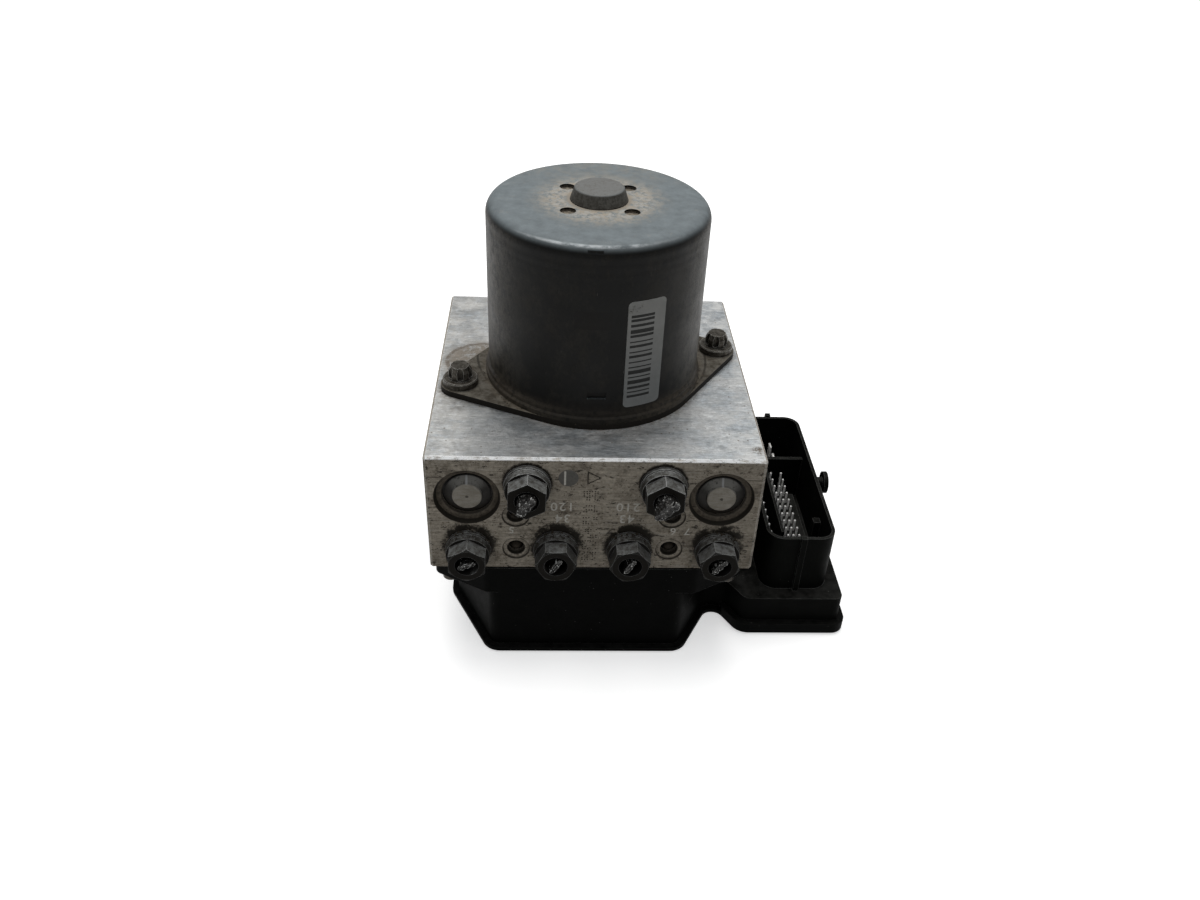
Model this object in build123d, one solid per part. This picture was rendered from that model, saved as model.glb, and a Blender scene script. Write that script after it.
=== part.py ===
from build123d import *
import math
import os

# Hydraulic unit of an anti-lock brake system, standing on its control unit with the pump motor up.
# Millimetres. X runs along the ported front face, Y from that face to the rear, Z up.
# The origin is under the middle of the aluminium block, on the plane that the unit rests on.

# Aluminium block
BLOCK_W = 100.0
BLOCK_D = 101.2
BLOCK_H = 42.2
ECU_H = 35.0
EDGE_BREAK = 0.7

# Control unit housing and its bottom cover
COVER_RIM_H = 4.6
COVER_FLOOR = 2.0
LIP_OUT = 2.2
COVER_CHAMFER = 0.7
ECU_WALL = 2.4
ECU_FLANGE_H = 10.2
ECU_TOP_T = 2.6
PEDESTAL_TOP = 14.4
PEDESTAL_ROOF = 2.4
ECU_HALF_W = 44.6
ECU_FLANGE_HALF_W = 49.8
ECU_REAR_STEP = 0.2
MAIN_FRONT_LEFT = -31.5
MAIN_FRONT_RIGHT = 29.2
REAR_HALF_W = 34.0
REAR_BEND_Y = 33.0
MAIN_CORNER_R = 4.0
RIM_STEP_X = 46.0
PEDESTAL_RIGHT = 85.3
PEDESTAL_FRONT = -42.0
PEDESTAL_REAR = 38.5
POST_R = 2.4
POST_XY = [(-24.0, -31.0), (24.0, -31.0), (-24.0, 42.5), (24.0, 42.5)]

# Connector shroud on the pedestal
SHROUD_X0 = 58.1
SHROUD_X1 = 80.9
SHROUD_Y0 = -36.9
SHROUD_Y1 = 35.1
SHROUD_TOP = 36.2
SHROUD_WALL = 1.1
SHROUD_CORNER = 5.5
END_RIB_X = 69.6
END_RIB_W = 1.9
END_RIB_OUT = 1.2
END_RIB_RISE = 0.8
CROSS_WALL_Y = 14.4
CROSS_WALL_T = 1.4
CROSS_WALL_TOP = 31.2
DIVIDER_X = 65.9
DIVIDER_T = 1.0
DIVIDER_FRONT = -23.0
DIVIDER_TOP = 27.6
PIN_FIELD_TOP = 22.7
PIN_FIELD_RIGHT = 75.5
PIN_FIELD_REAR = 4.4
KEY_X = 2.4
KEY_Y = -18.6
KEY_W = 2.6
KEY_TOP = 29.2
STUD_Y = -0.6
STUD_Z = 32.1
STUD_NECK_R = 1.9
STUD_NECK_L = 2.8
STUD_HEAD_R = 3.9
STUD_HEAD_T = 1.5

# Connector pins and blades
PIN_W = 0.64
PIN_TIP = 27.2
PIN_PITCH = 3.92
PIN_FRONT_Y = -23.9
PIN_COLUMN_X = [62.5, 68.1, 69.9, 71.9]
PIN_COUNTS = [9, 10, 8, 10]
PIN_STAGGER = [PIN_PITCH / 2, 0.0, 0.0, 0.0]
BLADE_W = 2.8
BLADE_T = 0.8
BLADE_XY = [(64.0, 22.4), (70.9, 22.4), (64.0, 29.2), (70.9, 29.2)]

# Circuit board
BOARD_Z = 8.0
BOARD_T = 1.6
BOARD_GAP = 0.3

# Motor
MOTOR_Y = -1.1
FLANGE_T = 2.0
FLANGE_R = 34.5
EAR_DX = 41.8
EAR_DY = 11.85
EAR_R = 6.2
SPIGOT_R = 17.9
SPIGOT_DEPTH = 3.8
SPIGOT_CLEAR = 0.1
CAN_R = 33.4
CAN_WALL = 1.8
CAN_TOP = 58.5
CAN_CROWN_R = 3.8
CAN_FOOT_R = 34.5
CAN_FOOT_T = 1.5
CAN_STEP_R = 33.95
CAN_STEP_TOP = 3.2
CAN_FLARE_TOP = 4.2
BOSS_H = 3.9
BOSS_R0 = 8.65
BOSS_R1 = 7.3
DENT_R = 2.35
DENT_OFF = 9.25
DENT_DEPTH = 1.1
NOTCH_X = -0.1
NOTCH_Z = 10.2
NOTCH_W = 5.6
NOTCH_H = 2.3
NOTCH_DEPTH = 0.9
LABEL_T = 0.12
LABEL_MID_DEG = -66.0
LABEL_WIDTH = 12.0
LABEL_Z0 = 6.8
LABEL_Z1 = 41.6
LABEL_CORNER = 1.4

# Motor bolts
BOLT_R = 2.95
BOLT_HOLE_R = 3.0
BOLT_CLEAR_R = 3.3
BOLT_LENGTH = 17.0
BOLT_WASHER_R = 5.5
BOLT_WASHER_T = 2.2
BOLT_WASHER_EDGE = 0.3
BOLT_HEAD_R = 3.7
BOLT_HEAD_H = 4.2
BOLT_RING_H = 0.5
BOLT_NECK_H = 2.6
BOLT_TOP_R = 2.85
BOLT_ROOT_R = 2.65
BOLT_LOBE_R = 0.95
BOLT_TURN = [35.0, 20.0]

# Rotor, bearings and brush gear
SHAFT_R = 4.0
REAR_JOURNAL_R = 2.5
RUN_FIT = 0.03
PRESS_FIT = 0.02
FRONT_BEARING_R = 11.0
FRONT_BEARING_T = 7.0
REAR_BEARING_R = 6.0
REAR_BEARING_T = 4.0
MAGNET_T = 4.9
AIR_GAP = 0.7
MAGNET_ARC = 128.0
MAGNET_Z = 20.0
MAGNET_L = 31.0
CORE_Z = 22.0
CORE_L = 27.0
SLOT_COUNT = 12
SLOT_W = 4.6
SLOT_DEPTH = 12.5
CORE_LIP = 1.6
END_TURN_H = 5.0
COMM_R = 9.5
COMM_Z = 7.4
COMM_L = 9.0
CARD_R = 31.0
CARD_Z = 2.8
CARD_T = 2.2
CARD_HOLE_R = 14.2
BRUSH_W = 6.0
BRUSH_H = 6.4
BRUSH_L = 9.0
BRUSH_GAP = 0.3
BRUSH_BOX_OUT = 26.0
BRUSH_BOX_WALL = 1.2
BRUSH_SPRING_R = 2.4
BRUSH_SPRING_WIRE = 0.6
LEAD_Y = 23.0
LEAD_R = 3.5
LEAD_BORE_R = 3.6
LEAD_W = 2.4
LEAD_T = 0.8
LEAD_X = 1.7

# Eccentric pump
CAVITY_R = 12.0
CAVITY_DEPTH = 22.0
PUMP_DEPTH = 14.0
THROW = 0.8
JOURNAL_R = 5.5
RING_R = 8.5
RING_W = 10.4
TDC_GAP = 0.1
PUMP_BORE_R = 6.5
PUMP_PISTON_R = 4.0
PUMP_SPRING_L = 7.0
SLEEVE_CAVITY_GAP = 1.2
SLEEVE_CAP_GAP = 0.2
SLEEVE_END_T = 4.0
PUMP_CAP_L = 11.4
PUMP_CAP_INSET = 0.4
PUMP_CAP_HEX = 6.0

# Low-pressure accumulators
ACC_FROM_SIDE = 12.2
ACC_DROP = 14.5
ACC_BORE_R = 7.5
ACC_BORE_END = 28.6
ACC_FUNNEL_R = 9.75
ACC_FLOOR_R = 9.1
ACC_FLOOR_DEPTH = 1.55
ACC_CREST_R = 8.3
ACC_RING_DEPTH = 2.0
ACC_BOSS_R = 4.4
ACC_BOSS_DEPTH = 0.4
ACC_BOSS_FOOT = 1.2
ACC_FLANK_R = 6.9
ACC_FLANK_DEPTH = 2.3
ACC_GROOVE_DEPTH = 3.0
ACC_CAP_T = 3.6
ACC_PISTON_L = 8.0
ACC_SEAL_W = 1.8
ACC_WIRE = 1.0

# Ports and tube nuts
INLET_X = [-20.0, 20.0]
INLET_DROP = 9.4
OUTLET_X = [-38.0, -11.3, 11.1, 38.3]
OUTLET_DROP = 34.0
PORT_R = 5.0
PORT_DEPTH = 8.5
PORT_SEAT_R = 2.6
PORT_SEAT_DEPTH = 12.5
THREAD_CLEAR = 0.05
COLLAR_R = 6.95
COLLAR_T = 3.7
COLLAR_FACE_R = 6.6
COLLAR_GROOVE_Z = 1.2
COLLAR_GROOVE_W = 0.5
COLLAR_GROOVE_DEPTH = 0.35
NUT_AF = 11.0
HEX_L = 4.7
HEX_CHAMFER_SLOPE = 0.58
INLET_FACE_R = 6.1
OUTLET_FACE_R = 5.45
NUT_MOUTH_R = 3.55
NUT_MOUTH_DEPTH = 4.6
INLET_PIPE_R = 3.0
OUTLET_PIPE_R = 2.38
PIPE_CLEAR = 0.05
PIPE_WALL = 0.7
INLET_NECK = 0.5
INLET_REACH = [4.8, 4.6]
OUTLET_REACH = 0.3
# Squashed tips: half length, half thickness, turn in degrees, sideways and upward shift of the tip
INLET_TIPS = [(3.9, 1.6, 50.0, 0.3, 0.6), (4.2, 1.5, 40.0, 0.1, 0.5)]
OUTLET_TIPS = [
    (2.9, 1.1, 20.0, 0.0, 0.0),
    (3.2, 0.9, 55.0, 0.0, 0.0),
    (3.2, 0.95, 60.0, 0.0, 0.0),
    (3.2, 1.0, 50.0, 0.0, 0.0),
]
INLET_TURN = [27.8, 32.2]
OUTLET_TURN = [28.4, 0.9, 11.5, 47.4]

# Plugged drillings on the front face
DRILL_X = 23.5
DRILL_DROPS = [21.3, 34.0]
DRILL_R = 2.45
DRILL_DEPTH = 7.0
DRILL_RING_R = 4.1
DRILL_RING_DEPTH = 0.5
BALL_CLEAR = 0.02
BALL_DEPTH = 3.6

# Valve cartridges, coils and pressure sensor
VALVE_ROWS = [-18.0, 6.0, 30.0]
VALVE_BORE_R = 5.0
VALVE_BORE_DEPTH = 17.0
VALVE_CLEAR = 0.05
DOME_R = 3.2
DOME_END = 17.5
DOME_HOLE_R = 5.4
COIL_GAP = 0.15
COIL_R = 8.2
COIL_Z = 15.0
COIL_ROOF_GAP = 1.8
COIL_WALL_GAP = 1.0
SENSOR_Y = -30.0
SENSOR_R = 4.0
SENSOR_DEPTH = 14.0

# Housing screws, gasket, vent, bracket threads
SCREW_FRONT = (45.0, -39.8)
SCREW_REAR = (43.8, 44.6)
SCREW_R = 1.7
SCREW_HOLE_R = 1.9
SCREW_TAP_R = 1.75
SCREW_HEAD_R = 2.7
SCREW_HEAD_H = 2.4
SCREW_REACH = 8.0
GASKET_IN = 0.4
GASKET_W = 1.6
GASKET_H = 1.2
GASKET_CLEAR = 0.05
VENT_PLUG_Y = 10.0
VENT_PLUG_Z = 13.0
VENT_PLUG_R = 4.0
BRACKET_R = 2.5
BRACKET_DEPTH = 13.0
BRACKET_REAR_X = 32.0
BRACKET_SIDE_Y = 28.0
BRACKET_DROP = 12.0

# Derived levels
BLOCK_TOP = ECU_H + BLOCK_H
FRONT = -BLOCK_D / 2
ECU_REAR = BLOCK_D / 2 - ECU_REAR_STEP
REAR_SLOPE = (ECU_HALF_W - REAR_HALF_W) / (ECU_REAR - REAR_BEND_Y)
PUMP_Z = BLOCK_TOP - PUMP_DEPTH
PLATE_TOP = BLOCK_TOP + FLANGE_T
CAN_TOP_Z = BLOCK_TOP + CAN_TOP
CAN_INNER_R = CAN_R - CAN_WALL
ACC_X = BLOCK_W / 2 - ACC_FROM_SIDE
COIL_TOP = ECU_H - ECU_TOP_T - COIL_ROOF_GAP
OUTER_COLUMN = ECU_HALF_W - ECU_WALL - COIL_R - COIL_WALL_GAP
VALVE_COLUMNS = [-OUTER_COLUMN, -OUTER_COLUMN / 3, OUTER_COLUMN / 3, OUTER_COLUMN]


def cyl(r, z0, z1, x=0.0, y=0.0):
    """Upright cylinder between two levels."""
    return Pos(x, y, (z0 + z1) / 2) * Cylinder(r, z1 - z0)


def rod_x(r, x0, x1, y, z):
    """Cylinder along X."""
    return Pos((x0 + x1) / 2, y, z) * Rot(0, 90, 0) * Cylinder(r, abs(x1 - x0))


def rod_y(r, y0, y1, x, z):
    """Cylinder along Y."""
    return Pos(x, (y0 + y1) / 2, z) * Rot(90, 0, 0) * Cylinder(r, abs(y1 - y0))


def block(x0, x1, y0, y1, z0, z1):
    """Box between two corners."""
    return Pos((x0 + x1) / 2, (y0 + y1) / 2, (z0 + z1) / 2) * Box(x1 - x0, y1 - y0, z1 - z0)


def upright(x, y, w, d, z0, z1):
    """Upright square bar round a point."""
    return Pos(x, y, (z0 + z1) / 2) * Box(w, d, z1 - z0)


def turned(profile, x=0.0, y=0.0):
    """Solid of revolution about an upright axis from (radius, level) points."""
    face = make_face(Plane.XZ * Polyline(*profile, close=True))
    return Pos(x, y, 0) * revolve(face, Axis.Z)


def turned_y(profile, x, z):
    """Solid of revolution about an axis along Y from (radius, depth) points, depth measured along +Y."""
    face = make_face(Plane.XY * Polyline(*profile, close=True))
    return Pos(x, 0, z) * revolve(face, Axis.Y)


def rounded(points, radii):
    """Flat outline from corner points, each corner rounded by its own radius."""
    flat = make_face(Polyline(*points, close=True))
    for (px, py), r in zip(points, radii):
        if r > 0:
            near = flat.vertices().sort_by_distance((px, py, 0))[0]
            flat = fillet(near, r)
    return flat


def raised(flat, z0, z1):
    """Upright prism of a flat outline between two levels."""
    return Pos(0, 0, z0) * extrude(flat, z1 - z0)


def save(node, *solids):
    """Writes one node; several solids stay separate pieces of one group."""
    flat = []
    for s in solids:
        flat.extend(s.solids())
    shape = flat[0] if len(flat) == 1 else Compound(children=flat)
    export_step(shape, "parts/" + node + ".step")


os.makedirs("parts", exist_ok=True)

# Outlines of the control unit, seen from above
MAIN_CORNERS = [
    (MAIN_FRONT_LEFT, FRONT),
    (MAIN_FRONT_RIGHT, FRONT),
    (ECU_HALF_W, -22.3),
    (ECU_HALF_W, REAR_BEND_Y),
    (REAR_HALF_W, ECU_REAR),
    (-REAR_HALF_W, ECU_REAR),
    (-ECU_HALF_W, REAR_BEND_Y),
    (-ECU_HALF_W, -24.5),
]
FOOT_CORNERS = [
    (MAIN_FRONT_LEFT, FRONT),
    (MAIN_FRONT_RIGHT, FRONT),
    (42.7, -26.0),
    (52.2, PEDESTAL_FRONT),
    (PEDESTAL_RIGHT, PEDESTAL_FRONT),
    (PEDESTAL_RIGHT, PEDESTAL_REAR),
    (REAR_HALF_W + (ECU_REAR - PEDESTAL_REAR) * REAR_SLOPE, PEDESTAL_REAR),
    (REAR_HALF_W, ECU_REAR),
    (-REAR_HALF_W, ECU_REAR),
    (-ECU_HALF_W, REAR_BEND_Y),
    (-ECU_HALF_W, -24.5),
]
FLANGE_CORNERS = [
    (-33.0, FRONT),
    (33.0, FRONT),
    (ECU_FLANGE_HALF_W, -41.2),
    (ECU_FLANGE_HALF_W, 45.0),
    (41.0, ECU_REAR),
    (-41.0, ECU_REAR),
    (-ECU_FLANGE_HALF_W, 45.0),
    (-ECU_FLANGE_HALF_W, -41.2),
]
main_flat = rounded(MAIN_CORNERS, [MAIN_CORNER_R] * 8)
foot_radii = [MAIN_CORNER_R] * 2 + [6.1, 4.0, 2.5, 4.0, 3.0] + [MAIN_CORNER_R] * 4
foot_flat = rounded(FOOT_CORNERS, foot_radii)
flange_flat = rounded(FLANGE_CORNERS, [4.0, 4.0, 3.0, 2.5, 2.5, 2.5, 2.5, 3.0])
screw_spots = [(side * sx, sy) for side in (-1, 1) for sx, sy in (SCREW_FRONT, SCREW_REAR)]
valve_spots = [(vx, vy) for vy in VALVE_ROWS for vx in VALVE_COLUMNS]
bolt_spots = [(-EAR_DX, MOTOR_Y - EAR_DY), (EAR_DX, MOTOR_Y + EAR_DY)]
port_spots = [(px, BLOCK_TOP - INLET_DROP) for px in INLET_X]
port_spots += [(px, BLOCK_TOP - OUTLET_DROP) for px in OUTLET_X]
drill_spots = [(dx, BLOCK_TOP - drop) for dx in (-DRILL_X, DRILL_X) for drop in DRILL_DROPS]
acc_z = BLOCK_TOP - ACC_DROP

# Hydraulic block with all its bores
spigot_floor = BLOCK_TOP - SPIGOT_DEPTH - 0.7
bracket_z = BLOCK_TOP - BRACKET_DROP
body = block(-BLOCK_W / 2, BLOCK_W / 2, FRONT, -FRONT, ECU_H, BLOCK_TOP)
body = chamfer(body.edges(), EDGE_BREAK)
cuts = [
    cyl(CAVITY_R, BLOCK_TOP - CAVITY_DEPTH, BLOCK_TOP, 0, MOTOR_Y),
    cyl(SPIGOT_R + SPIGOT_CLEAR, spigot_floor, BLOCK_TOP, 0, MOTOR_Y),
    rod_x(PUMP_BORE_R, -BLOCK_W / 2, BLOCK_W / 2, MOTOR_Y, PUMP_Z),
    cyl(LEAD_BORE_R, ECU_H, BLOCK_TOP, 0, LEAD_Y),
    cyl(SENSOR_R, ECU_H, ECU_H + SENSOR_DEPTH, 0, SENSOR_Y),
]
stake = [
    (0, FRONT),
    (ACC_FUNNEL_R, FRONT),
    (ACC_FLOOR_R, FRONT + ACC_FLOOR_DEPTH),
    (ACC_CREST_R, FRONT + ACC_FLOOR_DEPTH),
    (ACC_BORE_R, FRONT + ACC_RING_DEPTH),
    (ACC_BORE_R, FRONT + ACC_BORE_END),
    (0, FRONT + ACC_BORE_END),
]
for side in (-1, 1):
    cuts.append(turned_y(stake, side * ACC_X, acc_z))
    cuts.append(rod_y(BRACKET_R, -FRONT - BRACKET_DEPTH, -FRONT, side * BRACKET_REAR_X, bracket_z))
cuts.append(rod_x(BRACKET_R, -BLOCK_W / 2, -BLOCK_W / 2 + BRACKET_DEPTH, BRACKET_SIDE_Y, bracket_z))
for px, pz in port_spots:
    cuts.append(rod_y(PORT_R, FRONT, FRONT + PORT_DEPTH, px, pz))
    cuts.append(rod_y(PORT_SEAT_R, FRONT, FRONT + PORT_SEAT_DEPTH, px, pz))
for dx, dz in drill_spots:
    ringed = [
        (0, FRONT),
        (DRILL_RING_R, FRONT),
        (DRILL_RING_R - 0.2, FRONT + DRILL_RING_DEPTH),
        (DRILL_RING_R - 0.9, FRONT + DRILL_RING_DEPTH * 0.4),
        (DRILL_R + 0.3, FRONT + DRILL_RING_DEPTH),
        (DRILL_R, FRONT + DRILL_RING_DEPTH + 0.5),
        (DRILL_R, FRONT + DRILL_DEPTH),
        (0, FRONT + DRILL_DEPTH),
    ]
    cuts.append(turned_y(ringed, dx, dz))
for vx, vy in valve_spots:
    cuts.append(cyl(VALVE_BORE_R, ECU_H, ECU_H + VALVE_BORE_DEPTH, vx, vy))
for bx, by in bolt_spots:
    cuts.append(cyl(BOLT_HOLE_R, BLOCK_TOP - BOLT_LENGTH, BLOCK_TOP, bx, by))
for sx, sy in screw_spots:
    cuts.append(cyl(SCREW_TAP_R, ECU_H, ECU_H + SCREW_REACH, sx, sy))
body = body - cuts
save("hydraulic_block", body)

# Motor flange: plate with two ears, spigot into the block and seat for the front bearing
plate_flat = make_hull(
    (Pos(0, MOTOR_Y) * Circle(FLANGE_R)).edges()
    + [e for bx, by in bolt_spots for e in (Pos(bx, by) * Circle(EAR_R)).edges()]
)
neck_top = PLATE_TOP + 4.0
bearing_z0 = neck_top - FRONT_BEARING_T
plate = raised(plate_flat, BLOCK_TOP, PLATE_TOP)
plate += cyl(SPIGOT_R, BLOCK_TOP - SPIGOT_DEPTH, BLOCK_TOP, 0, MOTOR_Y)
plate += cyl(FRONT_BEARING_R + 2.6, PLATE_TOP, neck_top, 0, MOTOR_Y)
plate -= cyl(FRONT_BEARING_R + PRESS_FIT, bearing_z0, neck_top, 0, MOTOR_Y)
plate -= cyl(SHAFT_R + 2.0, BLOCK_TOP - SPIGOT_DEPTH, neck_top, 0, MOTOR_Y)
plate -= cyl(LEAD_BORE_R, BLOCK_TOP, PLATE_TOP, 0, LEAD_Y)
seal_z = BLOCK_TOP - SPIGOT_DEPTH / 2
seal_r = SPIGOT_R - 1.5
groove = cyl(SPIGOT_R + 1, seal_z - 0.9, seal_z + 0.9, 0, MOTOR_Y)
groove -= cyl(seal_r, seal_z - 0.9, seal_z + 0.9, 0, MOTOR_Y)
plate -= groove
for bx, by in bolt_spots:
    plate -= cyl(BOLT_CLEAR_R, BLOCK_TOP, PLATE_TOP, bx, by)
save("motor_flange", plate)
ring_out = SPIGOT_R + SPIGOT_CLEAR / 2
seal = cyl(ring_out, seal_z - 0.8, seal_z + 0.8, 0, MOTOR_Y)
seal -= cyl(seal_r + 0.05, seal_z - 0.8, seal_z + 0.8, 0, MOTOR_Y)
save("motor_seal", seal)

# Motor can: drawn pot with a rounded crown, a stepped foot, a bearing boss and four round dents
boss_in = REAR_BEARING_R + PRESS_FIT
notch_z = BLOCK_TOP + NOTCH_Z
can = cyl(CAN_R, PLATE_TOP, CAN_TOP_Z, 0, MOTOR_Y)
can = fillet(can.edges().group_by(Axis.Z)[-1], CAN_CROWN_R)
foot = turned(
    [
        (CAN_R - 0.5, PLATE_TOP),
        (CAN_FOOT_R, PLATE_TOP),
        (CAN_FOOT_R, PLATE_TOP + CAN_FOOT_T),
        (CAN_STEP_R, PLATE_TOP + CAN_FOOT_T + 0.6),
        (CAN_STEP_R, PLATE_TOP + CAN_STEP_TOP),
        (CAN_R, PLATE_TOP + CAN_FLARE_TOP),
        (CAN_R - 0.5, PLATE_TOP + CAN_FLARE_TOP),
    ],
    0,
    MOTOR_Y,
)
boss_profile = [
    (0, CAN_TOP_Z - 1),
    (BOSS_R0, CAN_TOP_Z - 1),
    (BOSS_R0, CAN_TOP_Z),
    (BOSS_R1, CAN_TOP_Z + BOSS_H),
    (0, CAN_TOP_Z + BOSS_H),
]
boss = turned(boss_profile, 0, MOTOR_Y)
boss = fillet(boss.edges().group_by(Axis.Z)[-1], 0.8)
can = can + foot + boss
inner = cyl(CAN_INNER_R, PLATE_TOP, CAN_TOP_Z - CAN_WALL, 0, MOTOR_Y)
inner = fillet(inner.edges().group_by(Axis.Z)[-1], CAN_CROWN_R - CAN_WALL)
can = can - inner - cyl(boss_in, CAN_TOP_Z - CAN_WALL - 0.5, CAN_TOP_Z + BOSS_H - 1.2, 0, MOTOR_Y)
for sx in (-1, 1):
    for sy in (-1, 1):
        can -= cyl(DENT_R, CAN_TOP_Z - DENT_DEPTH, CAN_TOP_Z + 1, sx * DENT_OFF, MOTOR_Y + sy * DENT_OFF)
notch_y = MOTOR_Y - CAN_R
can -= upright(NOTCH_X, notch_y, NOTCH_W, NOTCH_DEPTH * 2, notch_z, notch_z + NOTCH_H)
save("motor_can", can)

# Sticker: a thin rounded patch that follows the can
label_shell = cyl(CAN_R + LABEL_T, BLOCK_TOP + LABEL_Z0, BLOCK_TOP + LABEL_Z1)
label_shell -= cyl(CAN_R, BLOCK_TOP + LABEL_Z0, BLOCK_TOP + LABEL_Z1)
label_flat = RectangleRounded(LABEL_WIDTH, LABEL_Z1 - LABEL_Z0, LABEL_CORNER)
label_mid = BLOCK_TOP + (LABEL_Z0 + LABEL_Z1) / 2
label_plane = Plane(origin=(CAN_R - 5, 0, label_mid), x_dir=(0, 1, 0), z_dir=(1, 0, 0))
label = label_shell & extrude(label_plane * label_flat, 10)
save("motor_label", Pos(0, MOTOR_Y, 0) * Rot(0, 0, LABEL_MID_DEG) * label)

# Motor bolts with a thick washer flange and a six-lobe head
lobe_flat = Circle(BOLT_HEAD_R)
for k in range(6):
    lobe_flat -= Rot(0, 0, 60 * k) * Pos(BOLT_ROOT_R + BOLT_LOBE_R, 0) * Circle(BOLT_LOBE_R)
washer_top = PLATE_TOP + BOLT_WASHER_T
head_top = washer_top + BOLT_HEAD_H
bolts = []
for (bx, by), turn in zip(bolt_spots, BOLT_TURN):
    stem = cyl(BOLT_R, PLATE_TOP - BOLT_LENGTH + 1.0, PLATE_TOP, bx, by)
    washer = turned(
        [
            (0, PLATE_TOP),
            (BOLT_WASHER_R, PLATE_TOP),
            (BOLT_WASHER_R, washer_top - BOLT_WASHER_EDGE),
            (BOLT_WASHER_R - BOLT_WASHER_EDGE, washer_top),
            (0, washer_top),
        ],
        bx,
        by,
    )
    crown = turned(
        [
            (0, washer_top),
            (BOLT_HEAD_R, washer_top),
            (BOLT_HEAD_R, washer_top + BOLT_NECK_H),
            (BOLT_TOP_R, head_top),
            (0, head_top),
        ],
        bx,
        by,
    )
    head = Pos(bx, by, washer_top) * Rot(0, 0, turn) * extrude(lobe_flat, BOLT_HEAD_H)
    base_ring = cyl(BOLT_HEAD_R, washer_top, washer_top + BOLT_RING_H, bx, by)
    bolts.append(stem + washer + (head & crown) + base_ring)
save("motor_bolts", *bolts)

# Magnets: two arcs inside the can
magnet_z = PLATE_TOP + MAGNET_Z
magnet_z1 = magnet_z + MAGNET_L
magnet_out = CAN_INNER_R - PRESS_FIT
arc = cyl(magnet_out, magnet_z, magnet_z1) - cyl(magnet_out - MAGNET_T, magnet_z, magnet_z1)
wedge_r = magnet_out + 2
half_gap = math.tan(math.radians((180 - MAGNET_ARC) / 2)) * wedge_r
wedge = Polyline((0, 0), (wedge_r, half_gap), (0.01, wedge_r * 2), (-wedge_r, half_gap), close=True)
magnet = arc & raised(make_face(wedge), magnet_z, magnet_z1)
magnets = [Pos(0, MOTOR_Y, 0) * magnet, Pos(0, MOTOR_Y, 0) * Rot(0, 0, 180) * magnet]
save("magnets", *magnets)

# Bearings
front_bearing = cyl(FRONT_BEARING_R, bearing_z0, neck_top, 0, MOTOR_Y)
front_bearing -= cyl(SHAFT_R + RUN_FIT, bearing_z0, neck_top, 0, MOTOR_Y)
for level in (bearing_z0, neck_top - 0.6):
    trench = cyl(FRONT_BEARING_R - 2.0, level, level + 0.6, 0, MOTOR_Y)
    trench -= cyl(SHAFT_R + 2.0, level, level + 0.6, 0, MOTOR_Y)
    front_bearing -= trench
save("front_bearing", front_bearing)
rear_z1 = CAN_TOP_Z + BOSS_H - 1.2
rear_bearing = cyl(REAR_BEARING_R, rear_z1 - REAR_BEARING_T, rear_z1, 0, MOTOR_Y)
rear_bearing -= cyl(REAR_JOURNAL_R + RUN_FIT, rear_z1 - REAR_BEARING_T, rear_z1, 0, MOTOR_Y)
save("rear_bearing", rear_bearing)

# Rotor: shaft with the eccentric journal, core, windings and commutator
core_z0 = PLATE_TOP + CORE_Z
core_z1 = core_z0 + CORE_L
core_r = magnet_out - MAGNET_T - AIR_GAP
comm_z0 = PLATE_TOP + COMM_Z
comm_z1 = comm_z0 + COMM_L
turns_z0 = core_z0 - END_TURN_H
turns_z1 = core_z1 + END_TURN_H
journal_z0 = PUMP_Z - RING_W / 2 - 0.3
journal_z1 = PUMP_Z + RING_W / 2 + 0.3
shaft = cyl(SHAFT_R, journal_z1, rear_z1 - REAR_BEARING_T - 0.3, 0, MOTOR_Y)
shaft += cyl(REAR_JOURNAL_R, turns_z1, rear_z1 - 0.3, 0, MOTOR_Y)
shaft += cyl(JOURNAL_R, journal_z0, journal_z1, 0, MOTOR_Y + THROW)
shaft += cyl(SHAFT_R + 1.2, journal_z1, journal_z1 + 1.6, 0, MOTOR_Y)
save("rotor_shaft", shaft)
core = Circle(core_r) - Circle(SHAFT_R)
slot_flat = Pos(core_r - CORE_LIP - SLOT_DEPTH / 2, 0) * Rectangle(SLOT_DEPTH, SLOT_W)
slot_flat &= Circle(core_r - CORE_LIP)
hub_r = core_r - CORE_LIP - SLOT_DEPTH
mouth_flat = Pos(core_r - CORE_LIP / 2, 0) * Rectangle(CORE_LIP * 2, 1.6)
step = 360.0 / SLOT_COUNT
for k in range(SLOT_COUNT):
    core -= Rot(0, 0, k * step) * (slot_flat + mouth_flat)
save("armature_core", Pos(0, MOTOR_Y, 0) * raised(core, core_z0, core_z1))
strand = Pos(core_r - CORE_LIP - SLOT_DEPTH / 2, 0) * Rectangle(SLOT_DEPTH, SLOT_W - 0.4)
strand &= Circle(core_r - CORE_LIP - 0.4) - Circle(hub_r + 0.2)
winding = turned(
    [
        (SHAFT_R, core_z1),
        (core_r - CORE_LIP - 0.4, core_z1),
        (core_r - CORE_LIP - 1.0, turns_z1 - 1.6),
        (core_r - CORE_LIP - 5.0, turns_z1),
        (SHAFT_R, turns_z1),
    ]
)
winding += turned(
    [
        (SHAFT_R, core_z0),
        (core_r - CORE_LIP - 0.4, core_z0),
        (core_r - CORE_LIP - 1.0, turns_z0 + 1.6),
        (core_r - CORE_LIP - 5.0, turns_z0),
        (SHAFT_R, turns_z0),
    ]
)
for k in range(SLOT_COUNT):
    winding += Rot(0, 0, k * step) * raised(strand, core_z0, core_z1)
save("armature_windings", Pos(0, MOTOR_Y, 0) * winding)
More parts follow.
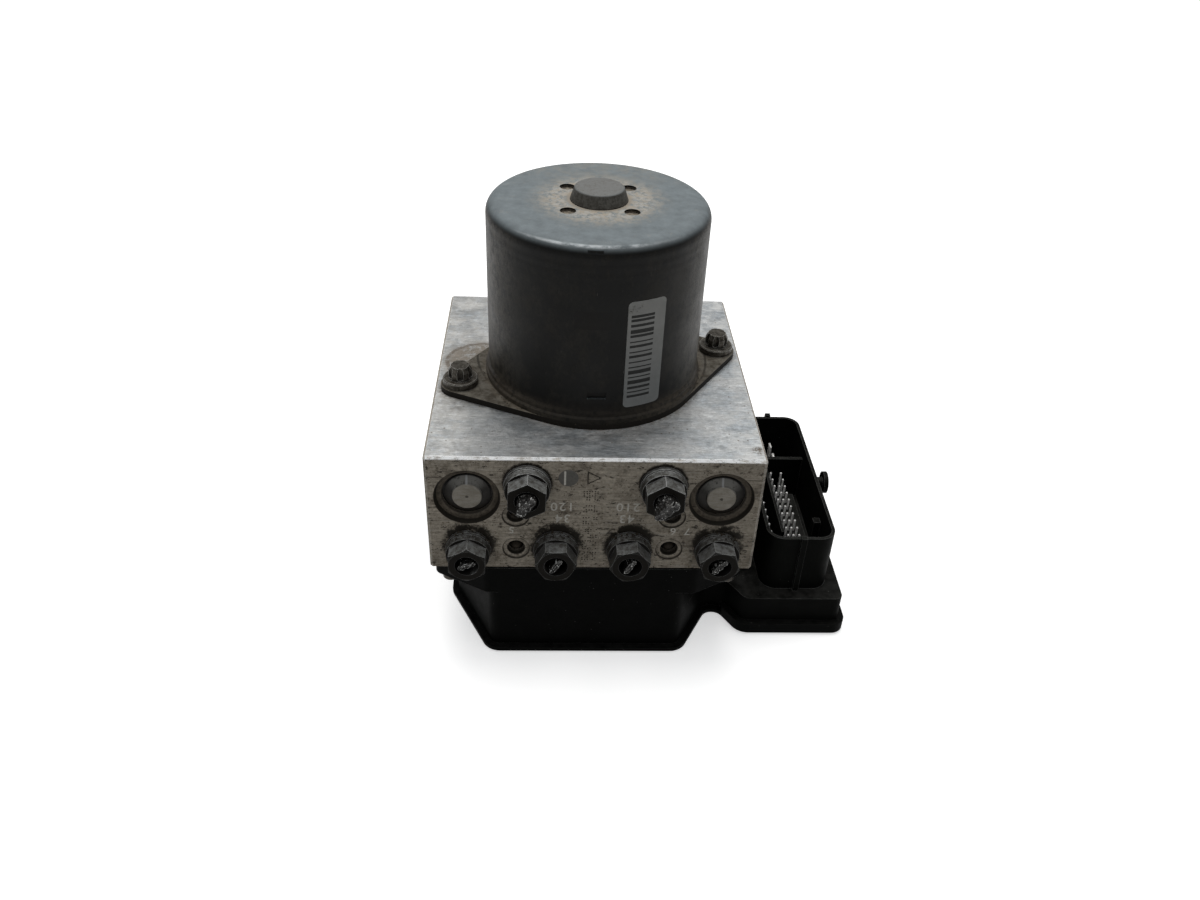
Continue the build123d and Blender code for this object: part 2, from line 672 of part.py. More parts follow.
comm = turned(
    [
        (SHAFT_R, comm_z0),
        (COMM_R, comm_z0),
        (COMM_R, comm_z1 - 1.6),
        (COMM_R + 1.6, comm_z1 - 1.6),
        (COMM_R + 1.6, comm_z1),
        (SHAFT_R, comm_z1),
    ]
)
comm_slit = block(COMM_R - 0.7, COMM_R + 2, -0.25, 0.25, comm_z0, comm_z1)
for k in range(SLOT_COUNT):
    comm -= Rot(0, 0, (k + 0.5) * step) * comm_slit
save("commutator", Pos(0, MOTOR_Y, 0) * comm)

# Brush holder with a box for each brush, brushes and their springs
board_top = BOARD_Z + BOARD_T
card_z0 = PLATE_TOP + CARD_Z
card_z1 = card_z0 + CARD_T
brush_z = comm_z0 + (COMM_L - 1.6) / 2
card = cyl(CARD_R, card_z0, card_z1) - cyl(CARD_HOLE_R, card_z0, card_z1)
card += cyl(CARD_R, PLATE_TOP, card_z0) - cyl(CARD_R - 1.6, PLATE_TOP, card_z0)
brush_x0 = COMM_R + BRUSH_GAP
box_x0 = CARD_HOLE_R + 0.6
box_half = BRUSH_W / 2 + BRUSH_BOX_WALL
brush_half = BRUSH_W / 2
brush_z0 = brush_z - BRUSH_H / 2
brush_z1 = brush_z + BRUSH_H / 2
for turn in (0, 180):
    box_out = block(box_x0, BRUSH_BOX_OUT, -box_half, box_half, card_z1 - 0.2, brush_z1 + 1.0)
    box_in = block(
        box_x0 - 1,
        BRUSH_BOX_OUT - BRUSH_BOX_WALL,
        -brush_half - RUN_FIT,
        brush_half + RUN_FIT,
        brush_z0 - RUN_FIT,
        brush_z1 + RUN_FIT,
    )
    card = card + Rot(0, 0, turn) * box_out
    card = card - Rot(0, 0, turn) * box_in
card = Pos(0, MOTOR_Y, 0) * card
lead_blades = []
for sx in (-1, 1):
    blade = upright(sx * LEAD_X, LEAD_Y, LEAD_W, LEAD_T, board_top, card_z1 + 1.5)
    lead_blades.append(blade)
    card -= blade
save("brush_holder", card)
brush = block(brush_x0 - 1, brush_x0 + BRUSH_L, -brush_half, brush_half, brush_z0, brush_z1)
brush -= cyl(COMM_R + BRUSH_GAP, card_z0, comm_z1 + 2)
save("brushes", Pos(0, MOTOR_Y, 0) * brush, Pos(0, MOTOR_Y, 0) * Rot(0, 0, 180) * brush)
brush_x1 = brush_x0 + BRUSH_L
box_end = BRUSH_BOX_OUT - BRUSH_BOX_WALL
brush_spring = rod_x(BRUSH_SPRING_R, brush_x1, box_end, 0, brush_z)
brush_spring -= rod_x(BRUSH_SPRING_R - BRUSH_SPRING_WIRE, brush_x1, box_end, 0, brush_z)
save("brush_springs", Pos(0, MOTOR_Y, 0) * brush_spring, Pos(0, MOTOR_Y, 0) * Rot(0, 0, 180) * brush_spring)

# Motor lead: two blades in an insulator, from the brush holder to the circuit board
insulator = cyl(LEAD_R, ECU_H - ECU_TOP_T, card_z0, 0, LEAD_Y) - lead_blades
save("lead_insulator", insulator)
save("motor_leads", *lead_blades)

# Pump: bearing ring, pistons, sleeves, return springs and end caps
ring = cyl(RING_R, PUMP_Z - RING_W / 2, PUMP_Z + RING_W / 2, 0, MOTOR_Y + THROW)
ring -= cyl(JOURNAL_R + RUN_FIT, PUMP_Z - RING_W / 2, PUMP_Z + RING_W / 2, 0, MOTOR_Y + THROW)
save("eccentric_ring", ring)
piston_x0 = RING_R + THROW + TDC_GAP
cap_x1 = BLOCK_W / 2 - PUMP_CAP_INSET
cap_x0 = cap_x1 - PUMP_CAP_L
sleeve_x0 = CAVITY_R + SLEEVE_CAVITY_GAP
sleeve_x1 = cap_x0 - SLEEVE_CAP_GAP
spring_x1 = sleeve_x1 - SLEEVE_END_T
piston_x1 = spring_x1 - PUMP_SPRING_L
sleeves = []
pump_caps = []
for side, word in ((-1, "left"), (1, "right")):
    piston = rod_x(PUMP_PISTON_R, side * piston_x0, side * piston_x1, MOTOR_Y, PUMP_Z)
    piston = chamfer(piston.edges().filter_by(GeomType.CIRCLE), 0.5)
    save("pump_piston_" + word, piston)
    sleeve = rod_x(PUMP_BORE_R - PRESS_FIT, side * sleeve_x0, side * sleeve_x1, MOTOR_Y, PUMP_Z)
    sleeve -= rod_x(PUMP_PISTON_R + RUN_FIT, side * sleeve_x0, side * spring_x1, MOTOR_Y, PUMP_Z)
    sleeve -= rod_x(1.2, side * sleeve_x0, side * sleeve_x1, MOTOR_Y, PUMP_Z)
    sleeves.append(sleeve)
    coil = rod_x(PUMP_PISTON_R - 0.6, side * piston_x1, side * spring_x1, MOTOR_Y, PUMP_Z)
    coil -= rod_x(PUMP_PISTON_R - 1.5, side * piston_x1, side * spring_x1, MOTOR_Y, PUMP_Z)
    save("pump_spring_" + word, coil)
    cap = rod_x(PUMP_BORE_R - PRESS_FIT, side * cap_x0, side * cap_x1, MOTOR_Y, PUMP_Z)
    socket_plane = Plane(origin=(side * (cap_x1 - 4.0), MOTOR_Y, PUMP_Z), x_dir=(0, 1, 0), z_dir=(side, 0, 0))
    cap -= extrude(socket_plane * RegularPolygon(PUMP_CAP_HEX / 2, 6, major_radius=False), 4.0)
    pump_caps.append(cap)
save("pump_sleeves", *sleeves)
save("pump_caps", *pump_caps)

# Low-pressure accumulators: hat-shaped cap, piston with its seal ring, and a spring
cap_y1 = FRONT + ACC_FLANK_DEPTH + ACC_CAP_T
piston_y1 = FRONT + ACC_BORE_END - 0.3
piston_y0 = piston_y1 - ACC_PISTON_L
seal_y = piston_y0 + ACC_PISTON_L * 0.62
acc_caps = []
for side, word in ((-1, "left"), (1, "right")):
    x = side * ACC_X
    cap_profile = [
        (0, FRONT + ACC_BOSS_DEPTH),
        (ACC_BOSS_R - 0.2, FRONT + ACC_BOSS_DEPTH),
        (ACC_BOSS_R, FRONT + ACC_BOSS_DEPTH + 0.2),
        (ACC_BOSS_R + 0.15, FRONT + ACC_BOSS_FOOT),
        (ACC_FLANK_R, FRONT + ACC_FLANK_DEPTH),
        (ACC_FLANK_R, FRONT + ACC_GROOVE_DEPTH),
        (ACC_BORE_R - PRESS_FIT, FRONT + ACC_GROOVE_DEPTH),
        (ACC_BORE_R - PRESS_FIT, cap_y1),
        (0, cap_y1),
    ]
    acc_caps.append(turned_y(cap_profile, x, acc_z))
    piston_profile = [
        (0, piston_y0 + 5.0),
        (ACC_BORE_R - 2.6, piston_y0 + 5.0),
        (ACC_BORE_R - 2.6, piston_y0),
        (ACC_BORE_R - 0.04, piston_y0),
        (ACC_BORE_R - 0.04, seal_y - ACC_SEAL_W / 2),
        (ACC_BORE_R - 1.5, seal_y - ACC_SEAL_W / 2),
        (ACC_BORE_R - 1.5, seal_y + ACC_SEAL_W / 2),
        (ACC_BORE_R - 0.04, seal_y + ACC_SEAL_W / 2),
        (ACC_BORE_R - 0.04, piston_y1 - 0.6),
        (ACC_BORE_R - 0.64, piston_y1),
        (0, piston_y1),
    ]
    save("accumulator_piston_" + word, turned_y(piston_profile, x, acc_z))
    seal_profile = [
        (ACC_BORE_R - 1.5, seal_y - ACC_SEAL_W / 2),
        (ACC_BORE_R - 0.03, seal_y - ACC_SEAL_W / 2),
        (ACC_BORE_R - 0.03, seal_y + ACC_SEAL_W / 2),
        (ACC_BORE_R - 1.5, seal_y + ACC_SEAL_W / 2),
    ]
    save("accumulator_seal_" + word, turned_y(seal_profile, x, acc_z))
    spring_profile = [
        (ACC_BORE_R - 2.9 - ACC_WIRE, cap_y1),
        (ACC_BORE_R - 2.9, cap_y1),
        (ACC_BORE_R - 2.9, piston_y0 + 5.0),
        (ACC_BORE_R - 2.9 - ACC_WIRE, piston_y0 + 5.0),
    ]
    save("accumulator_spring_" + word, turned_y(spring_profile, x, acc_z))
save("accumulator_caps", *acc_caps)

# Balls pressed into the drillings
balls = []
for dx, dz in drill_spots:
    balls.append(Pos(dx, FRONT + BALL_DEPTH, dz) * Sphere(DRILL_R - BALL_CLEAR))
save("ball_plugs", *balls)


def tube_nut(x, z, turn, face_r, pipe_r):
    """Flare nut: thread in the port, grooved collar on the face, and a hexagon chamfered at its front."""
    collar_y = FRONT - COLLAR_T
    hex_y = collar_y - HEX_L
    groove_y0 = FRONT - COLLAR_GROOVE_Z
    groove_y1 = groove_y0 - COLLAR_GROOVE_W
    groove_r = COLLAR_R - COLLAR_GROOVE_DEPTH
    nut = rod_y(PORT_R - THREAD_CLEAR, FRONT, FRONT + PORT_DEPTH - 0.5, x, z)
    collar = [
        (0, FRONT),
        (COLLAR_R, FRONT),
        (COLLAR_R, groove_y0),
        (groove_r, groove_y0 - 0.1),
        (groove_r, groove_y1 + 0.1),
        (COLLAR_R - 0.1, groove_y1),
        (COLLAR_FACE_R, collar_y),
        (0, collar_y),
    ]
    nut += turned_y(collar, x, z)
    plane = Plane(origin=(x, collar_y, z), x_dir=(1, 0, 0), z_dir=(0, -1, 0))
    flats = RegularPolygon(NUT_AF / 2, 6, major_radius=False)
    prism = extrude(plane * Rot(0, 0, turn) * flats, HEX_L)
    chamfered = [
        (0, collar_y),
        (COLLAR_R, collar_y),
        (COLLAR_R, hex_y + (COLLAR_R - face_r) * HEX_CHAMFER_SLOPE),
        (face_r, hex_y),
        (0, hex_y),
    ]
    nut += prism & turned_y(chamfered, x, z)
    nut -= rod_y(NUT_MOUTH_R, hex_y - 1, hex_y + NUT_MOUTH_DEPTH, x, z)
    nut -= rod_y(pipe_r + PIPE_CLEAR, hex_y - 1, FRONT + PORT_DEPTH, x, z)
    return nut


# Tube nuts
inlet_z = BLOCK_TOP - INLET_DROP
outlet_z = BLOCK_TOP - OUTLET_DROP
nut_end = FRONT - COLLAR_T - HEX_L
inlet_nuts = []
for x, turn in zip(INLET_X, INLET_TURN):
    inlet_nuts.append(tube_nut(x, inlet_z, turn, INLET_FACE_R, INLET_PIPE_R))
save("inlet_nuts", *inlet_nuts)
outlet_nuts = []
for x, turn in zip(OUTLET_X, OUTLET_TURN):
    outlet_nuts.append(tube_nut(x, outlet_z, turn, OUTLET_FACE_R, OUTLET_PIPE_R))
save("outlet_nuts", *outlet_nuts)


def pipe_stub(x, z, pipe_r, neck_y, tip_y, tip):
    """Cropped pipe: a tube that is round in the nut, squashed to a slit and bent aside at its tip."""
    half_long, half_thin, turn, dx, dz = tip
    root_plane = Plane(origin=(x, neck_y, z), x_dir=(1, 0, 0), z_dir=(0, -1, 0))
    tip_plane = Plane(origin=(x + dx, tip_y, z + dz), x_dir=(1, 0, 0), z_dir=(0, -1, 0))
    outer = rod_y(pipe_r, FRONT + PORT_DEPTH, neck_y, x, z)
    outer += loft([root_plane * Circle(pipe_r), tip_plane * Rot(0, 0, turn) * Ellipse(half_long, half_thin)])
    slit = Ellipse(half_long - PIPE_WALL, half_thin - PIPE_WALL)
    inner = rod_y(pipe_r - PIPE_WALL, FRONT + PORT_DEPTH, neck_y, x, z)
    inner += loft([root_plane * Circle(pipe_r - PIPE_WALL), tip_plane * Rot(0, 0, turn) * slit])
    return outer - inner


# Pipe ends: two inlet pipes that stand out of their nuts, four outlet pipes cropped at the nut's face
for x, tip, reach, word in zip(INLET_X, INLET_TIPS, INLET_REACH, ("left", "right")):
    stub = pipe_stub(x, inlet_z, INLET_PIPE_R, nut_end + INLET_NECK, nut_end - reach, tip)
    save("inlet_pipe_" + word, stub)
outlet_neck = nut_end + NUT_MOUTH_DEPTH
for k, (x, tip) in enumerate(zip(OUTLET_X, OUTLET_TIPS)):
    stub = pipe_stub(x, outlet_z, OUTLET_PIPE_R, outlet_neck, nut_end - OUTLET_REACH, tip)
    save("outlet_pipe_" + str(k + 1), stub)


def cartridge(x, y, crown_r):
    """Valve cartridge: stepped body in the block and a domed tube down into the coil."""
    top = ECU_H + VALVE_BORE_DEPTH
    r = VALVE_BORE_R - VALVE_CLEAR
    profile = [
        (0, DOME_END),
        (DOME_R - 1.0, DOME_END),
        (DOME_R, DOME_END + 1.0),
        (DOME_R, ECU_H),
        (r, ECU_H),
        (r, top - 5.0),
        (crown_r, top - 4.0),
        (crown_r, top - 0.3),
        (0, top - 0.3),
    ]
    return turned(profile, x, y)


# Valve cartridges by their duty, the pressure sensor, and the coils
rear_row = VALVE_ROWS[2]
mid_row = VALVE_ROWS[1]
front_row = VALVE_ROWS[0]
save("inlet_valves", *[cartridge(x, rear_row, 3.4) for x in VALVE_COLUMNS])
save("outlet_valves", *[cartridge(x, mid_row, 3.0) for x in VALVE_COLUMNS])
save("isolation_valves", *[cartridge(x, front_row, 3.8) for x in VALVE_COLUMNS[::3]])
save("suction_valves", *[cartridge(x, front_row, 2.6) for x in VALVE_COLUMNS[1:3]])
sensor = cyl(SENSOR_R - VALVE_CLEAR, ECU_H, ECU_H + SENSOR_DEPTH - 0.3, 0, SENSOR_Y)
sensor += cyl(SENSOR_R - 1.2, board_top, ECU_H, 0, SENSOR_Y)
save("pressure_sensor", sensor)
coils = []
for vx, vy in valve_spots:
    winding_tube = cyl(COIL_R, COIL_Z, COIL_TOP, vx, vy) - cyl(DOME_R + COIL_GAP, COIL_Z, COIL_TOP, vx, vy)
    for sx in (-1, 1):
        winding_tube += block(vx + sx * 5.5 - 0.5, vx + sx * 5.5 + 0.5, vy - 0.5, vy + 0.5, board_top, COIL_Z)
    coils.append(winding_tube)
save("valve_coils", *coils)

# Control unit housing
main_in = offset(main_flat, -ECU_WALL)
foot_in = offset(foot_flat, -ECU_WALL)
flange_z0 = ECU_H - ECU_FLANGE_H
roof_z = ECU_H - ECU_TOP_T
shroud_mid = ((SHROUD_X0 + SHROUD_X1) / 2, (SHROUD_Y0 + SHROUD_Y1) / 2)
shroud_w = SHROUD_X1 - SHROUD_X0
shroud_l = SHROUD_Y1 - SHROUD_Y0
shroud_out = Pos(*shroud_mid) * RectangleRounded(shroud_w, shroud_l, SHROUD_CORNER)
mouth_w = shroud_w - 2 * SHROUD_WALL
mouth_l = shroud_l - 2 * SHROUD_WALL
shroud_in = Pos(*shroud_mid) * RectangleRounded(mouth_w, mouth_l, SHROUD_CORNER - SHROUD_WALL)
skirt_side = block(-BLOCK_W, RIM_STEP_X, -BLOCK_D, BLOCK_D, COVER_FLOOR, COVER_RIM_H)
housing = raised(foot_flat, COVER_RIM_H, PEDESTAL_TOP)
housing += raised(foot_flat, COVER_FLOOR, COVER_RIM_H) & skirt_side
housing += raised(main_flat, PEDESTAL_TOP - 1, flange_z0 + 1)
housing += raised(flange_flat, flange_z0, ECU_H)
housing -= raised(main_in, COVER_FLOOR, roof_z)
housing -= raised(foot_in, COVER_FLOOR, PEDESTAL_TOP - PEDESTAL_ROOF)
housing += raised(shroud_out, PEDESTAL_TOP - 0.5, SHROUD_TOP)
housing -= raised(shroud_in, PEDESTAL_TOP, SHROUD_TOP + 1)
in_x0 = SHROUD_X0 + SHROUD_WALL
in_x1 = SHROUD_X1 - SHROUD_WALL
in_y0 = SHROUD_Y0 + SHROUD_WALL
floor_z = PEDESTAL_TOP - 1
cross_y1 = CROSS_WALL_Y + CROSS_WALL_T
divider_x1 = DIVIDER_X + DIVIDER_T
field = block(DIVIDER_X, PIN_FIELD_RIGHT, in_y0, PIN_FIELD_REAR, floor_z, PIN_FIELD_TOP)
field += block(in_x0 - 0.5, in_x1 + 0.5, CROSS_WALL_Y, cross_y1, floor_z, CROSS_WALL_TOP)
field += block(DIVIDER_X, divider_x1, DIVIDER_FRONT, cross_y1, floor_z, DIVIDER_TOP)
field += block(in_x1 - KEY_X, in_x1 + 0.5, KEY_Y - KEY_W / 2, KEY_Y + KEY_W / 2, floor_z, KEY_TOP)
housing += field & raised(shroud_out, floor_z, SHROUD_TOP)
rib_depth = END_RIB_OUT + SHROUD_WALL / 2
rib_top = SHROUD_TOP + END_RIB_RISE
for face_y, out in ((SHROUD_Y0, -1), (SHROUD_Y1, 1)):
    rib_y = face_y + out * (END_RIB_OUT - rib_depth / 2)
    housing += upright(END_RIB_X, rib_y, END_RIB_W, rib_depth, PEDESTAL_TOP - 0.5, rib_top)
for side, wall_x in ((-1, SHROUD_X0), (1, SHROUD_X1)):
    neck_x = wall_x + side * STUD_NECK_L
    housing += rod_x(STUD_NECK_R, wall_x - side * 0.5, neck_x + side * 0.2, STUD_Y, STUD_Z)
    housing += rod_x(STUD_HEAD_R, neck_x, neck_x + side * STUD_HEAD_T, STUD_Y, STUD_Z)
for px, py in POST_XY:
    housing += cyl(POST_R, board_top, roof_z + 0.5, px, py)
for vx, vy in valve_spots:
    housing -= cyl(DOME_HOLE_R, roof_z, ECU_H, vx, vy)
housing -= cyl(LEAD_BORE_R, roof_z, ECU_H, 0, LEAD_Y)
housing -= cyl(SENSOR_R, roof_z, ECU_H, 0, SENSOR_Y)
for sx, sy in screw_spots:
    housing -= cyl(SCREW_HOLE_R, flange_z0, ECU_H, sx, sy)
gasket_end = GASKET_IN + GASKET_W
gasket_flat = offset(main_flat, -GASKET_IN) - offset(main_flat, -gasket_end)
track_flat = offset(main_flat, GASKET_CLEAR - GASKET_IN) - offset(main_flat, -gasket_end - GASKET_CLEAR)
housing -= raised(track_flat, ECU_H - GASKET_H, ECU_H)
housing -= rod_x(VENT_PLUG_R - 1.0, -ECU_HALF_W, -ECU_HALF_W + ECU_WALL + 1, VENT_PLUG_Y, VENT_PLUG_Z)

# Connector pins stand on the circuit board and pass through the pedestal roof
pin_spots = []
for column_x, count, shift in zip(PIN_COLUMN_X, PIN_COUNTS, PIN_STAGGER):
    pin_spots += [(column_x, PIN_FRONT_Y + shift + k * PIN_PITCH) for k in range(count)]
pins = []
for px, py in pin_spots:
    pin = upright(px, py, PIN_W, PIN_W, board_top, PIN_TIP)
    pins.append(chamfer(pin.edges().group_by(Axis.Z)[-1], PIN_W * 0.3))
blades = []
for bx, by in BLADE_XY:
    blade = upright(bx, by, BLADE_T, BLADE_W, board_top, PIN_TIP)
    blades.append(chamfer(blade.edges().group_by(Axis.Z)[-1], BLADE_T * 0.3))
pass_through = [upright(px, py, PIN_W, PIN_W, 0, PIN_FIELD_TOP) for px, py in pin_spots]
pass_through += [upright(bx, by, BLADE_T, BLADE_W, 0, PIN_FIELD_TOP) for bx, by in BLADE_XY]
housing = housing - pass_through
save("ecu_housing", housing)
save("connector_pins", *pins)
save("power_blades", *blades)
save("ecu_seal", raised(gasket_flat, ECU_H - GASKET_H, ECU_H))

# Bottom cover: a plate with a thin lip all round, and a raised rim round the pedestal only
lip_flat = offset(foot_flat, LIP_OUT)
cover = raised(lip_flat, 0, COVER_RIM_H)
cover = chamfer(cover.edges().group_by(Axis.Z)[0], COVER_CHAMFER)
cover = cover - raised(foot_in, COVER_FLOOR, COVER_RIM_H) - skirt_side
save("ecu_cover", cover)

# Circuit board and chips
board_flat = offset(foot_in, -BOARD_GAP)
save("circuit_board", raised(board_flat, BOARD_Z, board_top))
chip_boxes = [
    (50.0, 56.0, -20.0, -4.0, 2.4),
    (48.5, 55.0, 6.0, 24.0, 1.8),
    (-8.0, 8.0, -14.0, 2.0, 2.2),
    (-30.0, -18.0, 12.0, 24.0, 1.6),
    (18.0, 30.0, 12.0, 24.0, 1.6),
]
save("board_chips", *[block(x0, x1, y0, y1, board_top, board_top + h) for x0, x1, y0, y1, h in chip_boxes])

# Housing screws from below, and the vent plug
screws = []
for sx, sy in screw_spots:
    screw = cyl(SCREW_R, flange_z0, ECU_H + SCREW_REACH - 0.5, sx, sy)
    screw += cyl(SCREW_HEAD_R, flange_z0 - SCREW_HEAD_H, flange_z0, sx, sy)
    screws.append(screw)
save("ecu_screws", *screws)
plug = rod_x(VENT_PLUG_R - 1.0, -ECU_HALF_W, -ECU_HALF_W + ECU_WALL, VENT_PLUG_Y, VENT_PLUG_Z)
plug += rod_x(VENT_PLUG_R, -ECU_HALF_W - 1.2, -ECU_HALF_W, VENT_PLUG_Y, VENT_PLUG_Z)
save("vent_plug", plug)
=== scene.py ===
# %% [markdown]
# # A hydraulic unit for anti-lock brakes
# The unit is a machined aluminium block. A pump motor stands on it, and a black plastic
# control unit hangs under it. It has been in use for years, so every surface is weathered.
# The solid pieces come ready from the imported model. This script gives each one its finish,
# and adds the small things that only a mesh can show well.

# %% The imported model
import math
import random

import bmesh
import bpy
from mathutils import Matrix, Vector


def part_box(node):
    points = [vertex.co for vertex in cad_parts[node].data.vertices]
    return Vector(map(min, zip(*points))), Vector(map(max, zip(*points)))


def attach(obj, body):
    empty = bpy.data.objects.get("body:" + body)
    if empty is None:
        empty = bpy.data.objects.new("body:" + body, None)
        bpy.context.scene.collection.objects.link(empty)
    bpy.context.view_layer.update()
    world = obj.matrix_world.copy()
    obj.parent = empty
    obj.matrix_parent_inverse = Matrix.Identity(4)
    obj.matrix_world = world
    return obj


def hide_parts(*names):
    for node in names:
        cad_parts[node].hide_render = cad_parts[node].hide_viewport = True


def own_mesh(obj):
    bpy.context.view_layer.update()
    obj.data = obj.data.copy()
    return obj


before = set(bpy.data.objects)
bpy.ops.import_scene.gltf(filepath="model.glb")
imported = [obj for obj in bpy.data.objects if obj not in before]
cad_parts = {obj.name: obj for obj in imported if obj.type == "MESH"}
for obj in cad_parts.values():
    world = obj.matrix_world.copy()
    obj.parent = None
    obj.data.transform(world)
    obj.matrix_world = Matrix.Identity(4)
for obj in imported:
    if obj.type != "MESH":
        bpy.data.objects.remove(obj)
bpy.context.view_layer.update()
MM = 0.001
block_low, block_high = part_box("hydraulic_block")
BLOCK_TOP = block_high.z / MM
FRONT = block_low.y / MM
BLOCK_HALF = block_high.x / MM
can_low, can_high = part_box("motor_can")
MOTOR_Y = (can_low.y + can_high.y) / 2 / MM
CAN_FOOT_R = (can_high.x - can_low.x) / 2 / MM
FOOT_STEP = 1.1
BOSS_RISE = 3.9
CAN_R = CAN_FOOT_R - FOOT_STEP
CAN_TOP = can_high.z / MM - BOSS_RISE
INLET_X = (-20.0, 20.0)
INLET_Z = BLOCK_TOP - 9.4
OUTLET_X = (-38.0, -11.3, 11.1, 38.3)
OUTLET_Z = BLOCK_TOP - 34.0
CAP_X = (-37.8, 37.8)
CAP_Z = BLOCK_TOP - 14.5
DRILL_X = (-23.5, 23.5)
DRILL_Z = (BLOCK_TOP - 21.3, BLOCK_TOP - 34.0)
COLLAR_END = FRONT - 3.6
NUT_END = FRONT - 8.4
print("nodes", len(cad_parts), "block top", round(BLOCK_TOP, 1), "front", round(FRONT, 1))

# %% [markdown]
# The camera stands where the photographer stood: a little to the left of the middle, above
# the unit and looking down at it, turned a few degrees about its own line of sight. It is
# made first, so that every look at the work is through the same eye.

# %% Camera
CAMERA_AZIMUTH = math.radians(-3.5346)
CAMERA_ELEVATION = math.radians(35.763)
CAMERA_ROLL = math.radians(2.7846)
CAMERA_PLACE = Vector((-13.76, -287.16, 248.91)) * MM
PHOTO_WIDTH = 1200
FOCAL_PIXELS = 1017.0
FRAME_DROP_PIXELS = 6.6

back = Vector(
    (
        math.sin(CAMERA_AZIMUTH) * math.cos(CAMERA_ELEVATION),
        -math.cos(CAMERA_AZIMUTH) * math.cos(CAMERA_ELEVATION),
        math.sin(CAMERA_ELEVATION),
    )
)
level = Vector((math.cos(CAMERA_AZIMUTH), math.sin(CAMERA_AZIMUTH), 0))
right = level * math.cos(CAMERA_ROLL) + back.cross(level) * math.sin(CAMERA_ROLL)
up = back.cross(right)
camera_data = bpy.data.cameras.new("camera")
camera = bpy.data.objects.new("camera", camera_data)
bpy.context.scene.collection.objects.link(camera)
camera.matrix_world = Matrix.Translation(CAMERA_PLACE) @ Matrix((right, up, back)).transposed().to_4x4()
camera_data.sensor_width = 36
camera_data.lens = FOCAL_PIXELS / PHOTO_WIDTH * 36
camera_data.shift_y = FRAME_DROP_PIXELS / PHOTO_WIDTH
camera_data.clip_start = 0.01
camera_data.clip_end = 20
bpy.context.scene.camera = camera
bpy.context.scene.view_settings.view_transform = "Standard"

# %% [markdown]
# The unit stands on a white table under one wide soft lamp. The light comes from above, so
# the upright faces are much darker than the tops. The table shows white to the eye and to
# polished metal, and keeps a soft shadow. It throws back only a little light itself.

# %% Table, sky and lamp
TABLE_SIZE = 6.0
TABLE_BOUNCE = 0.22
TABLE_GLOW = 0.5
TABLE_TONE = 0.86
SKY_HORIZON = 0.16
SKY_ZENITH = 0.75
LAMP_SIZE = 0.7
LAMP_HEIGHT = 0.95
LAMP_WATTS = 5.6


def link(tree, start, end):
    """Joins an output socket to an input socket."""
    tree.links.new(start, end)


def make_table():
    """White table top: plain for light that bounces, brighter for the eye and for reflections."""
    bpy.ops.mesh.primitive_plane_add(size=TABLE_SIZE, location=(0, 0, -0.00005))
    table = bpy.context.object
    table.name = "table_top"
    finish = bpy.data.materials.new("table_white")
    finish.use_nodes = True
    tree = finish.node_tree
    shader = tree.nodes["Principled BSDF"]
    shader.inputs["Roughness"].default_value = 0.9
    shader.inputs["Specular IOR Level"].default_value = 0.1
    rays = tree.nodes.new("ShaderNodeLightPath")
    seen = tree.nodes.new("ShaderNodeMath")
    seen.operation = "MAXIMUM"
    link(tree, rays.outputs["Is Camera Ray"], seen.inputs[0])
    link(tree, rays.outputs["Is Glossy Ray"], seen.inputs[1])
    seen_all = tree.nodes.new("ShaderNodeMath")
    seen_all.operation = "MAXIMUM"
    link(tree, seen.outputs[0], seen_all.inputs[0])
    link(tree, rays.outputs["Is Transmission Ray"], seen_all.inputs[1])
    colour = tree.nodes.new("ShaderNodeMix")
    colour.data_type = "RGBA"
    colour.inputs["A"].default_value = (TABLE_BOUNCE, TABLE_BOUNCE, TABLE_BOUNCE, 1)
    colour.inputs["B"].default_value = (TABLE_TONE, TABLE_TONE, TABLE_TONE, 1)
    link(tree, seen_all.outputs[0], colour.inputs["Factor"])
    link(tree, colour.outputs["Result"], shader.inputs["Base Color"])
    glow = tree.nodes.new("ShaderNodeMath")
    glow.operation = "MULTIPLY"
    glow.inputs[1].default_value = TABLE_GLOW
    link(tree, seen_all.outputs[0], glow.inputs[0])
    shader.inputs["Emission Color"].default_value = (1, 1, 1, 1)
    link(tree, glow.outputs[0], shader.inputs["Emission Strength"])
    table.data.materials.append(finish)


def make_sky():
    """Soft surrounding light, dim at the horizon and bright overhead."""
    world = bpy.data.worlds.new("studio")
    bpy.context.scene.world = world
    world.use_nodes = True
    tree = world.node_tree
    ground = tree.nodes["Background"]
    place = tree.nodes.new("ShaderNodeTexCoord")
    split = tree.nodes.new("ShaderNodeSeparateXYZ")
    height = tree.nodes.new("ShaderNodeMapRange")
    height.inputs["From Min"].default_value = 0.0
    height.inputs["From Max"].default_value = 1.0
    height.inputs["To Min"].default_value = SKY_HORIZON
    height.inputs["To Max"].default_value = SKY_ZENITH
    link(tree, place.outputs["Generated"], split.inputs[0])
    link(tree, split.outputs["Z"], height.inputs["Value"])
    ground.inputs["Color"].default_value = (0.97, 0.985, 1.0, 1)
    link(tree, height.outputs["Result"], ground.inputs["Strength"])


def make_lamp():
    """Wide soft box straight above, a little behind the unit."""
    lamp_data = bpy.data.lights.new("soft_box", "AREA")
    lamp_data.shape = "SQUARE"
    lamp_data.size = LAMP_SIZE
    lamp_data.energy = LAMP_WATTS
    lamp_data.color = (1.0, 0.985, 0.96)
    lamp = bpy.data.objects.new("soft_box", lamp_data)
    bpy.context.scene.collection.objects.link(lamp)
    lamp.location = (-0.05, 0.18, LAMP_HEIGHT)
    lamp.rotation_euler = (math.radians(-12), 0, 0)


make_table()
make_sky()
make_lamp()

